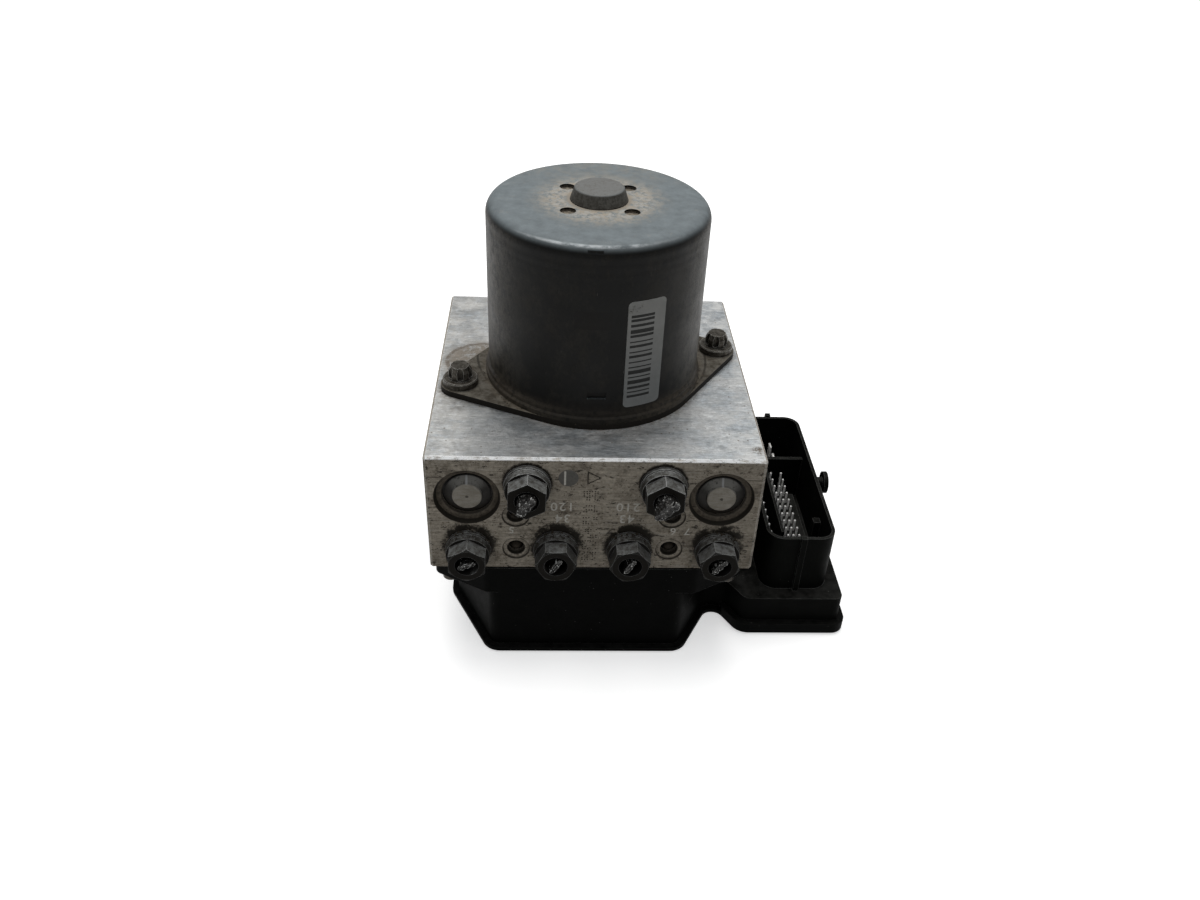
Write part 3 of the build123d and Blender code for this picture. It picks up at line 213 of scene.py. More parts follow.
# %% [markdown]
# A weathered finish is built up as on a model: a ground colour, then stains, dust and wear
# laid over it through masks. The class below keeps that short. Each method adds one node
# and gives back its output. Patterns are measured in millimetres on the piece itself, so
# they stay with it when it moves and have the same grain on every piece.

# %% A finish under construction
class Finish:
    """One material. Colours are linear red, green and blue; lengths are millimetres."""

    def __init__(self, name, specular):
        self.material = bpy.data.materials.new(name)
        self.material.use_nodes = True
        self.tree = self.material.node_tree
        self.shader = self.tree.nodes["Principled BSDF"]
        self.shader.inputs["Specular IOR Level"].default_value = specular
        coords = self.tree.nodes.new("ShaderNodeTexCoord")
        self.normal = coords.outputs["Normal"]
        scale = self.tree.nodes.new("ShaderNodeVectorMath")
        scale.operation = "SCALE"
        scale.inputs["Scale"].default_value = 1 / MM
        link(self.tree, coords.outputs["Object"], scale.inputs[0])
        self.place = scale.outputs[0]

    def feed(self, socket, value):
        """Sets an input to a number or colour, or joins it to an output."""
        if isinstance(value, bpy.types.NodeSocket):
            link(self.tree, value, socket)
        elif isinstance(value, (tuple, list)) and len(socket.default_value) == 4:
            socket.default_value = (*value, 1.0)
        else:
            socket.default_value = value

    def math(self, operation, a, b=0.0, c=None):
        """One sum of one, two or three values."""
        node = self.tree.nodes.new("ShaderNodeMath")
        node.operation = operation
        self.feed(node.inputs[0], a)
        self.feed(node.inputs[1], b)
        if c is not None:
            self.feed(node.inputs[2], c)
        return node.outputs[0]

    def vector(self, operation, a, b):
        """One sum of two vectors."""
        node = self.tree.nodes.new("ShaderNodeVectorMath")
        node.operation = operation
        self.feed(node.inputs[0], a)
        self.feed(node.inputs[1], b)
        return node.outputs["Value"] if operation in ("DISTANCE", "DOT_PRODUCT") else node.outputs[0]

    def axis(self, name, vector=None):
        """One coordinate of the place, or of another vector."""
        node = self.tree.nodes.new("ShaderNodeSeparateXYZ")
        link(self.tree, vector or self.place, node.inputs[0])
        return node.outputs[name]

    def noise(self, grain, detail=5.0, roughness=0.6, stretch=(1, 1, 1), shift=0.0):
        """Cloudy pattern with blots about grain millimetres across, longer where stretch is over 1."""
        spread = tuple(1 / (grain * s) for s in stretch)
        node = self.tree.nodes.new("ShaderNodeTexNoise")
        node.inputs["Scale"].default_value = 1.0
        node.inputs["Detail"].default_value = detail
        node.inputs["Roughness"].default_value = roughness
        moved = self.vector("ADD", self.vector("MULTIPLY", self.place, spread), (shift, shift * 0.7, -shift))
        link(self.tree, moved, node.inputs["Vector"])
        return node.outputs["Fac"]

    def specks(self, grain, size):
        """Small separate spots, 1 inside and 0 outside, about grain millimetres apart."""
        node = self.tree.nodes.new("ShaderNodeTexVoronoi")
        node.inputs["Scale"].default_value = 1 / grain
        link(self.tree, self.place, node.inputs["Vector"])
        return self.ramp(node.outputs["Distance"], size, size * 0.5)

    def ramp(self, value, start, end, low=0.0, high=1.0):
        """Smooth step from low at start to high at end; start may be the larger."""
        node = self.tree.nodes.new("ShaderNodeMapRange")
        node.interpolation_type = "SMOOTHSTEP"
        turned = start > end
        self.feed(node.inputs["Value"], value)
        node.inputs["From Min"].default_value = end if turned else start
        node.inputs["From Max"].default_value = start if turned else end
        node.inputs["To Min"].default_value = high if turned else low
        node.inputs["To Max"].default_value = low if turned else high
        return node.outputs["Result"]

    def mix(self, factor, a, b):
        """Colour a where factor is 0 and colour b where it is 1."""
        node = self.tree.nodes.new("ShaderNodeMix")
        node.data_type = "RGBA"
        self.feed(node.inputs["Factor"], factor)
        self.feed(node.inputs["A"], a)
        self.feed(node.inputs["B"], b)
        return node.outputs["Result"]

    def shade(self, colour, value, amount):
        """Lightens and darkens a colour by about amount, with a cloudy value near 0.5."""
        factor = self.math("MULTIPLY_ADD", value, 5 * amount, 1 - 2.5 * amount)
        node = self.tree.nodes.new("ShaderNodeVectorMath")
        node.operation = "SCALE"
        self.feed(node.inputs[0], colour)
        self.feed(node.inputs["Scale"], factor)
        return node.outputs[0]

    def spot(self, centre, inner, outer, plane=(1, 0, 1)):
        """1 within inner of a point, 0 beyond outer; plane says which axes count."""
        flat = self.vector("MULTIPLY", self.place, plane)
        point = tuple(c * p for c, p in zip(centre, plane))
        return self.ramp(self.vector("DISTANCE", flat, point), outer, inner)

    def reach(self, centre):
        """Level distance in millimetres from an upright axis."""
        level = self.vector("MULTIPLY", self.place, (1, 1, 0))
        return self.vector("DISTANCE", level, (centre[0], centre[1], 0))

    def folded(self, plane, centre=(0, 0, 0)):
        """Place measured from a centre, with both sides folded onto one, on the axes of a plane."""
        moved = self.vector("SUBTRACT", self.vector("MULTIPLY", self.place, plane), centre)
        node = self.tree.nodes.new("ShaderNodeVectorMath")
        node.operation = "ABSOLUTE"
        link(self.tree, moved, node.inputs[0])
        return node.outputs[0]

    def ring_at(self, x, z):
        """Distance from an axis along Y at height z, at x and at -x alike."""
        across = self.math("SUBTRACT", self.math("ABSOLUTE", self.axis("X")), x)
        upward = self.math("SUBTRACT", self.axis("Z"), z)
        squares = self.math("ADD", self.math("POWER", across, 2.0), self.math("POWER", upward, 2.0))
        return self.math("SQRT", squares)

    def band(self, value, centre, outer, inner):
        """1 where a value lies within inner of a centre, 0 beyond outer."""
        return self.ramp(self.math("ABSOLUTE", self.math("SUBTRACT", value, centre)), outer, inner)

    def rest(self, mask):
        """What a mask leaves free."""
        return self.math("SUBTRACT", 1.0, mask)

    def most(self, *masks):
        """The largest of several masks."""
        found = masks[0]
        for mask in masks[1:]:
            found = self.math("MAXIMUM", found, mask)
        return found

    def both(self, *masks):
        """Masks multiplied together."""
        found = masks[0]
        for mask in masks[1:]:
            found = self.math("MULTIPLY", found, mask)
        return found

    def facing(self, direction, start=0.4, end=0.8):
        """1 where the surface faces a direction of the piece."""
        return self.ramp(self.vector("DOT_PRODUCT", self.normal, direction), start, end)

    def edges(self, radius, start=0.02, end=0.12):
        """1 along sharp edges and corners, in a band about radius wide."""
        node = self.tree.nodes.new("ShaderNodeBevel")
        node.samples = 4
        node.inputs["Radius"].default_value = radius * MM
        geometry = self.tree.nodes.new("ShaderNodeNewGeometry")
        turn = self.vector("DOT_PRODUCT", node.outputs[0], geometry.outputs["Normal"])
        return self.ramp(turn, 1 - start, 1 - end)

    def crevices(self, reach, start=0.75, end=0.35):
        """1 in corners and gaps within reach of another surface."""
        node = self.tree.nodes.new("ShaderNodeAmbientOcclusion")
        node.samples = 6
        node.inputs["Distance"].default_value = reach * MM
        return self.ramp(node.outputs["AO"], start, end)

    def relief(self, height, depth, rounding=0.0):
        """Raises the surface by height times depth millimetres, and may soften its edges."""
        node = self.tree.nodes.new("ShaderNodeBump")
        node.inputs["Strength"].default_value = 1.0
        node.inputs["Distance"].default_value = depth * MM
        self.feed(node.inputs["Height"], height)
        if rounding:
            soft = self.tree.nodes.new("ShaderNodeBevel")
            soft.samples = 4
            soft.inputs["Radius"].default_value = rounding * MM
            link(self.tree, soft.outputs[0], node.inputs["Normal"])
        link(self.tree, node.outputs[0], self.shader.inputs["Normal"])

    def done(self, colour, roughness, metallic=0.0):
        """Joins the last colour, roughness and metal mask to the shader."""
        self.feed(self.shader.inputs["Base Color"], colour)
        self.feed(self.shader.inputs["Roughness"], roughness)
        self.feed(self.shader.inputs["Metallic"], metallic)
        return self.material


# %% [markdown]
# ## The aluminium block
# The top was milled and stayed fairly clean. It is bare metal, but its reflections are painted: a darker
# patch in front of the motor's left side, and brighter ends made by denser whitish oxide. Fine streaks run
# along the front edge, with whitish oxide and a tan crust round the motor flange. The front face is duller,
# under a thin brown-grey film. Its upper edge is rubbed bright and nicked, and its chamfer carries a painted
# highlight as well.

# %% Block finish: the top
TOP_LIGHT = (0.66, 0.665, 0.66)
TOP_BLUE = (0.41, 0.455, 0.49)
OXIDE_AND_SHINE = (0.6, 0.6, 0.585)
CRUST = (0.2, 0.17, 0.135)
POOL = (-36.5, 4.0, 0)
STAIN = (0.11, 0.082, 0.055)
EAR_LEFT = (-41.8, MOTOR_Y - 11.85, 0)
EAR_RIGHT = (41.8, MOTOR_Y + 11.85, 0)


def milled_top(f, streaks):
    """Colour and metal mask of the bare upper face."""
    cloud = f.noise(9, 7, 0.68, stretch=(1.8, 1, 1))
    top = f.mix(f.both(f.ramp(cloud, 0.38, 0.66), 0.7), TOP_LIGHT, TOP_BLUE)
    top = f.shade(top, streaks, 0.26)
    top = f.shade(top, f.noise(0.22, 5, 0.7, stretch=(30, 1, 1), shift=6), 0.14)
    top = f.shade(top, f.noise(2.4, 8, 0.84, shift=63), 0.34)
    # Painted reflection: the whitish oxide is made denser towards both ends, so that the ends of the top come
    # out brighter.
    ends = f.ramp(f.math("ABSOLUTE", f.math("SUBTRACT", f.axis("X"), 3.0)), 26, 47)
    haze = f.ramp(f.noise(4.5, 9, 0.76, stretch=(1.7, 1, 1), shift=11), 0.44, 0.62)
    oxide_and_painted_shine = f.both(haze, f.math("MULTIPLY_ADD", ends, 0.55, 0.3))
    flecks = f.ramp(f.noise(1.6, 8, 0.8, stretch=(2.6, 1, 1), shift=21), 0.6, 0.68)
    oxide_and_painted_shine = f.most(oxide_and_painted_shine, f.both(flecks, 0.75))
    top = f.mix(oxide_and_painted_shine, top, OXIDE_AND_SHINE)
    scratches = f.both(
        f.ramp(f.noise(0.35, 3, 0.5, stretch=(46, 1, 1), shift=14), 0.66, 0.72),
        f.ramp(f.noise(11, 3, shift=15), 0.45, 0.58),
    )
    top = f.mix(f.both(scratches, 0.7), top, (0.8, 0.82, 0.83))

    ring = f.spot((0, MOTOR_Y, 0), CAN_FOOT_R - 0.5, CAN_FOOT_R + 3.0, plane=(1, 1, 0))
    near = f.most(
        ring,
        f.spot(EAR_LEFT, 5.5, 9.0, plane=(1, 1, 0)),
        f.spot(EAR_RIGHT, 5.5, 8.0, plane=(1, 1, 0)),
    )
    blots = f.noise(2.0, 8, 0.78, shift=5)
    stain = f.both(near, f.ramp(blots, 0.36, 0.6))
    pool = f.spot(POOL, 9.0, 15.0, plane=(1, 1, 0))
    crust = f.both(pool, f.ramp(f.noise(2.6, 9, 0.84, shift=25), 0.36, 0.5))
    tan_film = f.both(
        f.ramp(f.math("ADD", f.axis("X"), f.both(f.noise(9, 6, 0.7, shift=81), 26.0)), -12, -30),
        f.ramp(f.noise(3.2, 9, 0.84, shift=82), 0.4, 0.56),
    )
    top = f.mix(f.both(tan_film, 0.5), top, (0.42, 0.4, 0.365))
    rim = f.both(
        f.band(f.reach(POOL), 11.0, 1.0, 0.3),
        f.ramp(blots, 0.36, 0.56),
    )
    dots = f.both(f.specks(2.2, 0.17), f.ramp(f.noise(10, 3, shift=31), 0.44, 0.56))
    blot = f.both(f.spot((47.5, FRONT + 5.2, 0), 1.2, 2.9, plane=(1, 1, 0)), f.ramp(blots, 0.42, 0.56))
    top = f.mix(f.both(crust, 0.9), top, CRUST)
    dirt = f.most(f.both(stain, 0.85), f.both(rim, 0.7), f.both(dots, 0.8), f.both(blot, 0.9))
    top = f.shade(top, f.noise(0.7, 8, 0.84, stretch=(2.5, 1, 1), shift=33), 0.32)
    # Painted reflection of the can: a darker patch on the top, left of the middle and towards the front.
    painted_can_reflection = f.both(f.band(f.axis("X"), -29.0, 15, 4), f.ramp(f.axis("Y"), FRONT + 40, FRONT + 22))
    top = f.mix(f.both(painted_can_reflection, 0.5), top, (0.2, 0.21, 0.215))
    scratch = f.both(
        f.ramp(f.noise(0.16, 2, 0.5, stretch=(60, 1.4, 1), shift=55), 0.68, 0.73),
        f.ramp(f.noise(9, 2, shift=56), 0.45, 0.6),
    )
    top = f.mix(f.both(scratch, 0.7), top, (0.95, 0.96, 0.97))
    top = f.mix(dirt, top, STAIN)
    covered = f.most(dirt, f.both(crust, 0.9))
    bare = f.both(f.rest(covered), f.math("MULTIPLY_ADD", oxide_and_painted_shine, -0.75, 0.86))
    return top, bare


# %% Block finish: the ported face
SIDE_FILM = (0.365, 0.324, 0.265)
SIDE_DARK = (0.15, 0.128, 0.1)
# One black for grime and for painted shade round the nuts, in the cap gaps and in the bores.
GRIME_AND_SHADE = (0.0155, 0.0132, 0.0098)
FUNNEL_PALE = (0.1, 0.083, 0.062)
FUNNEL_DARK = (0.035, 0.028, 0.02)


def round_ports(f):
    """Black grime and painted shade round the nuts, heaviest above them."""
    spots = []
    for x in INLET_X:
        spots.append(f.both(f.spot((x, 0, INLET_Z + 0.5), 6.6, 8.4), 0.92))
    uneven = f.ramp(f.noise(4.2, 4, 0.6, shift=44), 0.36, 0.56, 0.62, 1.08)
    for x in OUTLET_X:
        spots.append(f.both(f.spot((x, 0, OUTLET_Z + 1.9), 5.8, 10.6), uneven))
    heavy = f.most(*spots)
    ragged = f.ramp(f.math("ADD", heavy, f.both(f.noise(1.6, 9, 0.84, shift=41), 2.1)), 1.32, 1.85)
    return f.both(ragged, f.ramp(heavy, 0.0, 0.3))


def ported_face(f):
    """Colour of the front, sides and bores."""
    film = f.mix(f.ramp(f.noise(7, 8, 0.74, shift=3), 0.46, 0.68), SIDE_FILM, SIDE_DARK)
    film = f.shade(film, f.noise(0.5, 6, 0.72, stretch=(14, 1, 1), shift=8), 0.38)
    film = f.shade(film, f.noise(1.0, 8, 0.84, shift=18), 0.55)
    rubbed = f.both(
        f.ramp(f.noise(0.3, 4, 0.6, stretch=(26, 1, 2), shift=27), 0.57, 0.66),
        f.ramp(f.noise(8, 3, shift=28), 0.42, 0.56),
    )
    film = f.mix(f.both(rubbed, 0.6), film, (0.42, 0.39, 0.34))
    brown = f.both(f.ramp(f.noise(2.6, 9, 0.82, shift=37), 0.56, 0.64), 0.8)
    film = f.mix(brown, film, (0.06, 0.045, 0.03))
    near_front = f.ramp(f.axis("Y"), FRONT + 4, FRONT + 1)
    pits = f.both(f.specks(1.4, 0.2), f.ramp(f.noise(4, 4, shift=23), 0.46, 0.58))
    nicks = f.both(f.ramp(f.noise(1.1, 6, 0.76, stretch=(2.4, 1, 1), shift=61), 0.585, 0.61), near_front)
    dirt = f.most(f.both(round_ports(f), near_front), f.both(pits, 0.85), f.both(nicks, 0.9))
    step_line = f.both(
        f.band(f.axis("Z"), BLOCK_TOP - 7.1, 0.26, 0.08),
        f.ramp(f.math("ABSOLUTE", f.axis("X")), 42.5, 45.5),
        near_front,
    )
    dirt = f.most(dirt, f.both(step_line, 0.7))

    from_cap = f.ring_at(CAP_X[1], CAP_Z)
    # Inside each cap's counterbore the face is mottled dark brown-black.
    funnel = f.both(f.ramp(from_cap, 9.95, 9.75), near_front)
    funnel_mottle = f.mix(f.ramp(f.noise(1.6, 7, 0.75, shift=47), 0.36, 0.6), FUNNEL_PALE, FUNNEL_DARK)
    film = f.mix(funnel, film, funnel_mottle)
    # Painted shade: the counterbore wall, the gap round each cap and the drilled bores are painted black.
    wall = f.both(f.ramp(from_cap, 9.0, 9.25), f.ramp(from_cap, 9.85, 9.7), near_front)
    lip = f.both(f.ramp(from_cap, 7.9, 7.6), near_front)
    hole = f.both(f.ramp(f.ring_at(DRILL_X[1], DRILL_Z[0]), 2.9, 2.65), near_front)
    hole = f.most(hole, f.both(f.ramp(f.ring_at(DRILL_X[1], DRILL_Z[1]), 2.9, 2.65), near_front))
    dirt = f.most(dirt, wall, lip, hole)
    for z in DRILL_Z:
        line = f.band(f.ring_at(DRILL_X[1], z), 4.05, 0.24, 0.08)
        dirt = f.most(dirt, f.both(line, near_front, 0.9))
    film = f.mix(f.both(f.ramp(f.axis("X"), 10, 46), 0.22), film, SIDE_DARK)
    # Grime, pits, nicks and dark lines, and painted shade round the nuts and in the recesses, all get the
    # same black.
    return f.mix(dirt, film, GRIME_AND_SHADE)


# %% Block finish: both together
# Colour of the rubbed upper edge, also used for a painted highlight on the chamfer.
EDGE_WEAR_AND_HIGHLIGHT = (0.8, 0.81, 0.81)


def block_finish():
    f = Finish("weathered_aluminium", specular=0.1)
    is_top = f.both(f.facing((0, 0, 1), 0.75, 0.95), f.ramp(f.axis("Z"), BLOCK_TOP - 1.5, BLOCK_TOP - 1.0))
    streaks = f.noise(0.5, 7, 0.72, stretch=(9, 1, 1))
    top, bare = milled_top(f, streaks)
    colour = f.mix(is_top, ported_face(f), top)
    outer = f.most(
        f.ramp(f.axis("Z"), BLOCK_TOP - 1.3, BLOCK_TOP - 0.7),
        f.ramp(f.math("ABSOLUTE", f.axis("X")), BLOCK_HALF - 1.0, BLOCK_HALF - 0.7),
    )
    rubbed = f.ramp(f.noise(0.9, 6, 0.75, stretch=(3, 3, 3), shift=9), 0.33, 0.42)
    worn = f.both(f.edges(0.75, 0.02, 0.1), rubbed, outer)
    patchy = f.ramp(f.noise(1.6, 7, 0.84, stretch=(2, 1, 1), shift=13), 0.4, 0.52, 0.3, 1.0)
    # Painted highlight: the chamfer that faces up and forward gets the bright edge colour, as well as the
    # rubbed edges.
    painted_chamfer_highlight = f.both(f.facing((0, -0.707, 0.707), 0.86, 0.95), outer, patchy)
    upper = f.ramp(f.axis("Z"), BLOCK_TOP - 1.6, BLOCK_TOP - 0.9, 0.3, 1.0)
    worn = f.both(f.most(worn, painted_chamfer_highlight), upper)
    colour = f.mix(worn, colour, EDGE_WEAR_AND_HIGHLIGHT)
    chipped = f.ramp(f.noise(1.1, 6, 0.82, stretch=(1.8, 1, 1), shift=77), 0.57, 0.62)
    chips = f.both(chipped, outer, f.edges(1.4, 0.01, 0.06))
    colour = f.mix(chips, colour, (0.03, 0.027, 0.022))
    rough = f.math("MULTIPLY_ADD", streaks, 0.22, 0.22)
    rough = f.math("ADD", rough, f.both(f.rest(is_top), 0.3))
    metal = f.most(f.both(is_top, bare), f.both(worn, 0.8))
    grain = f.math("ADD", f.both(streaks, 0.5), f.both(f.noise(0.9, 8, 0.78, shift=2), 0.7))
    f.relief(grain, 0.14, rounding=0.2)
    return f.done(colour, rough, metal)


block_metal = block_finish()

# %% [markdown]
# ## The motor
# The can is a drawn steel pot in dark satin paint. Its top is painted blue-grey, for dust and as painted
# light from above; tan dust lies round the bearing boss, and brown dirt has crept up the sides in patches,
# lighter at the far left and right, where a painted sheen is added. A thin bright line along the front of the
# crown is a painted highlight, with the paint made partly metallic there. These areas are found by direction,
# height and distance from the motor's own axis, so they need no painting by hand.

# %% Can finish
PAINT_SIDE = (0.0046, 0.0046, 0.0042)
PAINT_TOP_DUST_AND_LIGHT = (0.155, 0.178, 0.188)
TAN_DUST = (0.34, 0.295, 0.235)
FROST = (0.36, 0.355, 0.335)
SIDE_DUST_AND_SHEEN = (0.076, 0.068, 0.055)
FLANK_PALE = (0.092, 0.089, 0.08)
FLANK_DARK = (0.052, 0.048, 0.042)
FOOT_SIDE = (0.0045, 0.004, 0.0033)
FOOT_TOP_DUST_AND_LIGHT = (0.016, 0.0145, 0.0125)
DENT_OFF = 9.25
# Dark patches on the can's front, each x, height, half width, half height and strength: two marks on the
# paint, and painted shade in the small stake pocket near the foot.
DARK_MARKS_AND_POCKET_SHADE = ((-1.8, 36.0, 5.6, 3.0, 0.75), (-1.9, 56.6, 2.4, 0.5, 0.95), (-0.1, 10.9, 2.7, 0.9, 0.9))


def dusty_top(f, base):
    """Tan and whitish dust round the boss and in the four round dents."""
    out = f.reach((0, MOTOR_Y, 0))
    level = f.facing((0, 0, 1), 0.5, 0.9)
    collar = f.both(f.ramp(out, 23, 12), f.ramp(out, 7.5, 9.0, 0.0, 1.0), level)
    powder = f.ramp(f.noise(2.6, 9, 0.82, shift=4), 0.4, 0.58)
    base = f.mix(f.both(collar, powder, 0.9), base, TAN_DUST)
    blotches = f.ramp(f.noise(1.7, 9, 0.84, shift=54), 0.46, 0.58)
    frost = f.both(f.ramp(out, 19, 13), f.ramp(out, 9, 11), blotches, level)
    base = f.mix(f.both(frost, 0.85), base, FROST)
    foot = f.both(f.ramp(out, 10.2, 9.1), f.ramp(out, 8.2, 8.8), level)
    base = f.mix(f.both(foot, 0.8), base, (0.27, 0.235, 0.19))
    dents = f.both(
        f.ramp(f.vector("DISTANCE", f.folded((1, 1, 0), (0, MOTOR_Y, 0)), (DENT_OFF, DENT_OFF, 0)), 2.5, 2.2),
        f.ramp(f.axis("Z"), CAN_TOP - 0.3, CAN_TOP - 0.7),
    )
    floor = f.mix(f.ramp(f.noise(1.2, 6, 0.75, shift=58), 0.36, 0.6), (0.24, 0.21, 0.17), (0.1, 0.085, 0.067))
    base = f.mix(dents, base, floor)
    smears = f.both(f.ramp(f.noise(5.0, 9, 0.8, shift=14), 0.56, 0.7), level)
    base = f.mix(f.both(smears, 0.32), base, TAN_DUST)
    above = f.ramp(f.axis("Z"), CAN_TOP + 0.1, CAN_TOP + 0.3)
    flank = f.both(f.ramp(out, 8.9, 8.7), above, f.facing((0, 0, 1), 0.75, 0.5))
    steel = f.mix(f.ramp(f.noise(1.4, 7, 0.78, shift=66), 0.4, 0.62), FLANK_PALE, FLANK_DARK)
    base = f.mix(flank, base, steel)
    boss = f.both(f.ramp(out, 7.6, 7.0), f.ramp(f.axis("Z"), CAN_TOP + 3.0, CAN_TOP + 3.6))
    crumbs = f.ramp(f.noise(1.0, 8, 0.84, shift=62), 0.49, 0.6)
    base = f.mix(f.both(boss, 0.9), base, (0.158, 0.158, 0.152))
    clouds = f.ramp(f.noise(4.0, 9, 0.8, shift=71), 0.4, 0.6)
    back = f.both(f.ramp(f.axis("Y"), MOTOR_Y + 8, MOTOR_Y + 26), clouds, level)
    base = f.mix(f.both(back, 0.5), base, (0.225, 0.215, 0.19))
    return f.mix(f.both(boss, crumbs, 0.55), base, (0.1, 0.092, 0.078))


def dirty_side(f, base):
    """Brown dust at both sides, lighter at the far left and right with a painted sheen, brown dust at the
    foot, a few darker marks, and painted shade in a small pocket near the foot.
    """
    height = f.axis("Z")
    upright = f.facing((0, 0, 1), 0.5, 0.2)
    sides = f.ramp(f.math("ABSOLUTE", f.axis("X")), 21, 33)
    # Painted sheen and dust: the far left and right of the side, where it turns away, get a lighter dusty
    # colour.
    side_dust_and_sheen = f.both(sides, f.ramp(f.noise(2.2, 9, 0.84, stretch=(1, 1, 1.5), shift=6), 0.4, 0.58))
    base = f.mix(f.both(side_dust_and_sheen, upright, 0.9), base, SIDE_DUST_AND_SHEEN)
    veil = f.both(f.ramp(f.noise(9, 9, 0.78, stretch=(1, 1, 1.4), shift=71), 0.46, 0.62), upright)
    base = f.mix(f.both(veil, 0.42), base, (0.024, 0.021, 0.016))
    murk = f.both(f.ramp(f.noise(5, 8, 0.8, shift=73), 0.52, 0.64), upright)
    base = f.mix(f.both(murk, 0.6), base, (0.0025, 0.0024, 0.0021))
    splashed = f.ramp(f.noise(1.8, 7, 0.75, shift=7), 0.3, 0.6)
    low_part = f.both(f.ramp(height, BLOCK_TOP + 8.5, BLOCK_TOP + 4.5), splashed)
    sideways = f.ramp(f.math("ABSOLUTE", f.axis("X")), 6, 26, 0.25, 0.9)
    base = f.mix(f.both(low_part, sideways), base, (0.06, 0.05, 0.038))
    # The last of these patches is painted shade in the stake pocket.
    for x, z, half_w, half_h, strength in DARK_MARKS_AND_POCKET_SHADE:
        mark = f.both(
            f.band(f.axis("X"), x, half_w, half_w - 0.4),
            f.band(height, BLOCK_TOP + z, half_h, half_h - 0.3),
            f.ramp(f.axis("Y"), MOTOR_Y - 20, MOTOR_Y - 24),
        )
        uneven = f.ramp(f.noise(1.2, 6, 0.7, shift=19), 0.3, 0.5, 0.5, strength)
        base = f.mix(f.both(mark, uneven), base, (0.0035, 0.003, 0.0025))
    hair = f.both(
        f.ramp(f.noise(0.3, 3, 0.5, stretch=(1, 1, 14), shift=88), 0.7, 0.75),
        f.ramp(f.noise(6, 3, shift=89), 0.55, 0.65),
    )
    return f.mix(f.both(hair, upright, 0.5), base, (0.12, 0.118, 0.11))


def can_finish():
    f = Finish("satin_can_paint", specular=0.12)
    # The top is far lighter and more blue-grey than the sides: dust, and painted light from above. The foot's
    # top is made lighter the same way.
    on_top = f.facing((0, 0, 1), 0.3, 0.9)
    base = f.mix(on_top, PAINT_SIDE, PAINT_TOP_DUST_AND_LIGHT)
    base = f.shade(base, f.noise(4, 8, 0.7), 0.2)
    foot_paint = f.mix(on_top, FOOT_SIDE, FOOT_TOP_DUST_AND_LIGHT)
    base = f.mix(f.ramp(f.axis("Z"), BLOCK_TOP + 9.5, BLOCK_TOP + 8.5), base, foot_paint)
    base = dirty_side(f, dusty_top(f, base))
    tilt = f.vector("DOT_PRODUCT", f.normal, (0, 0, 1))
    # Painted highlight: a thin bright line on the front of the crown, where the paint is also made partly
    # metallic.
    crown = f.both(
        f.band(tilt, 0.8, 0.16, 0.03),
        f.band(f.axis("Z"), CAN_TOP - 1.6, 2.2, 1.6),
        f.ramp(f.noise(2.5, 6, 0.7, stretch=(3, 3, 1), shift=91), 0.38, 0.55),
        f.facing((0, -1, 0), 0.4, 0.57),
        f.ramp(f.axis("X"), 20, 4, 0.35, 1.0),
    )
    base = f.mix(f.both(crown, 0.5), base, (0.52, 0.54, 0.55))
    bands = f.both(f.math("SINE", f.both(f.axis("Z"), 2.4)), f.ramp(f.axis("Z"), CAN_TOP - 14, CAN_TOP - 7))
    rough = f.math("MULTIPLY_ADD", f.noise(6, 5, shift=21), 0.25, 0.34)
    f.relief(f.math("ADD", f.both(f.noise(0.6, 7, 0.75), 0.5), f.both(bands, 0.25)), 0.07)
    return f.done(base, rough, f.both(crown, 0.5))


can_steel = can_finish()

# %% Flange finish
def flange_finish():
    f = Finish("dirty_flange_steel", specular=0.1)
    base = f.mix(f.ramp(f.noise(3, 8, 0.75), 0.38, 0.62), (0.135, 0.124, 0.104), (0.055, 0.047, 0.036))
    base = f.shade(base, f.noise(0.8, 6, 0.8, shift=3), 0.25)
    # A thin dark arc, 37.6 mm from a point 6 mm behind the middle.
    dark_arc_line = f.band(f.reach((0, 6.0, 0)), 37.6, 0.5, 0.2)
    base = f.mix(f.both(dark_arc_line, 0.7), base, (0.02, 0.017, 0.013))
    tan_dust = f.ramp(f.noise(1.5, 7, 0.78, shift=13), 0.4, 0.6)
    inside = f.both(f.ramp(f.reach((0, MOTOR_Y, 0)), 37.0, 35.0), tan_dust)
    base = f.mix(f.both(inside, 0.6), base, (0.14, 0.118, 0.09))
    rust = f.ramp(f.noise(1.3, 8, 0.8, shift=26), 0.62, 0.7)
    base = f.mix(f.both(rust, 0.6), base, (0.11, 0.07, 0.04))
    base = f.mix(f.both(f.edges(0.3, 0.03, 0.12), 0.4), base, (0.24, 0.225, 0.2))
    # Painted shade: faces that do not look up, such as the plate's edges, are darkened.
    base = f.mix(f.facing((0, 0, 1), 0.5, 0.1), base, (0.012, 0.01, 0.008))
    f.relief(f.noise(0.7, 7, 0.78), 0.12, rounding=0.15)
    return f.done(base, f.math("MULTIPLY_ADD", f.noise(3, 4), 0.3, 0.45))


flange_steel = flange_finish()

# %% [markdown]
# The sticker is grey film with a plain pattern of bars, thick and thin, one above the other.
# A row number is made from the height. Every fourth row is dark, and white noise darkens some
# of the rows on either side of it, so the bars come out thick and thin. The pattern means
# nothing.

# %% Sticker finish
BAR_MODULE = 0.42
LABEL_MID = math.radians(-66)


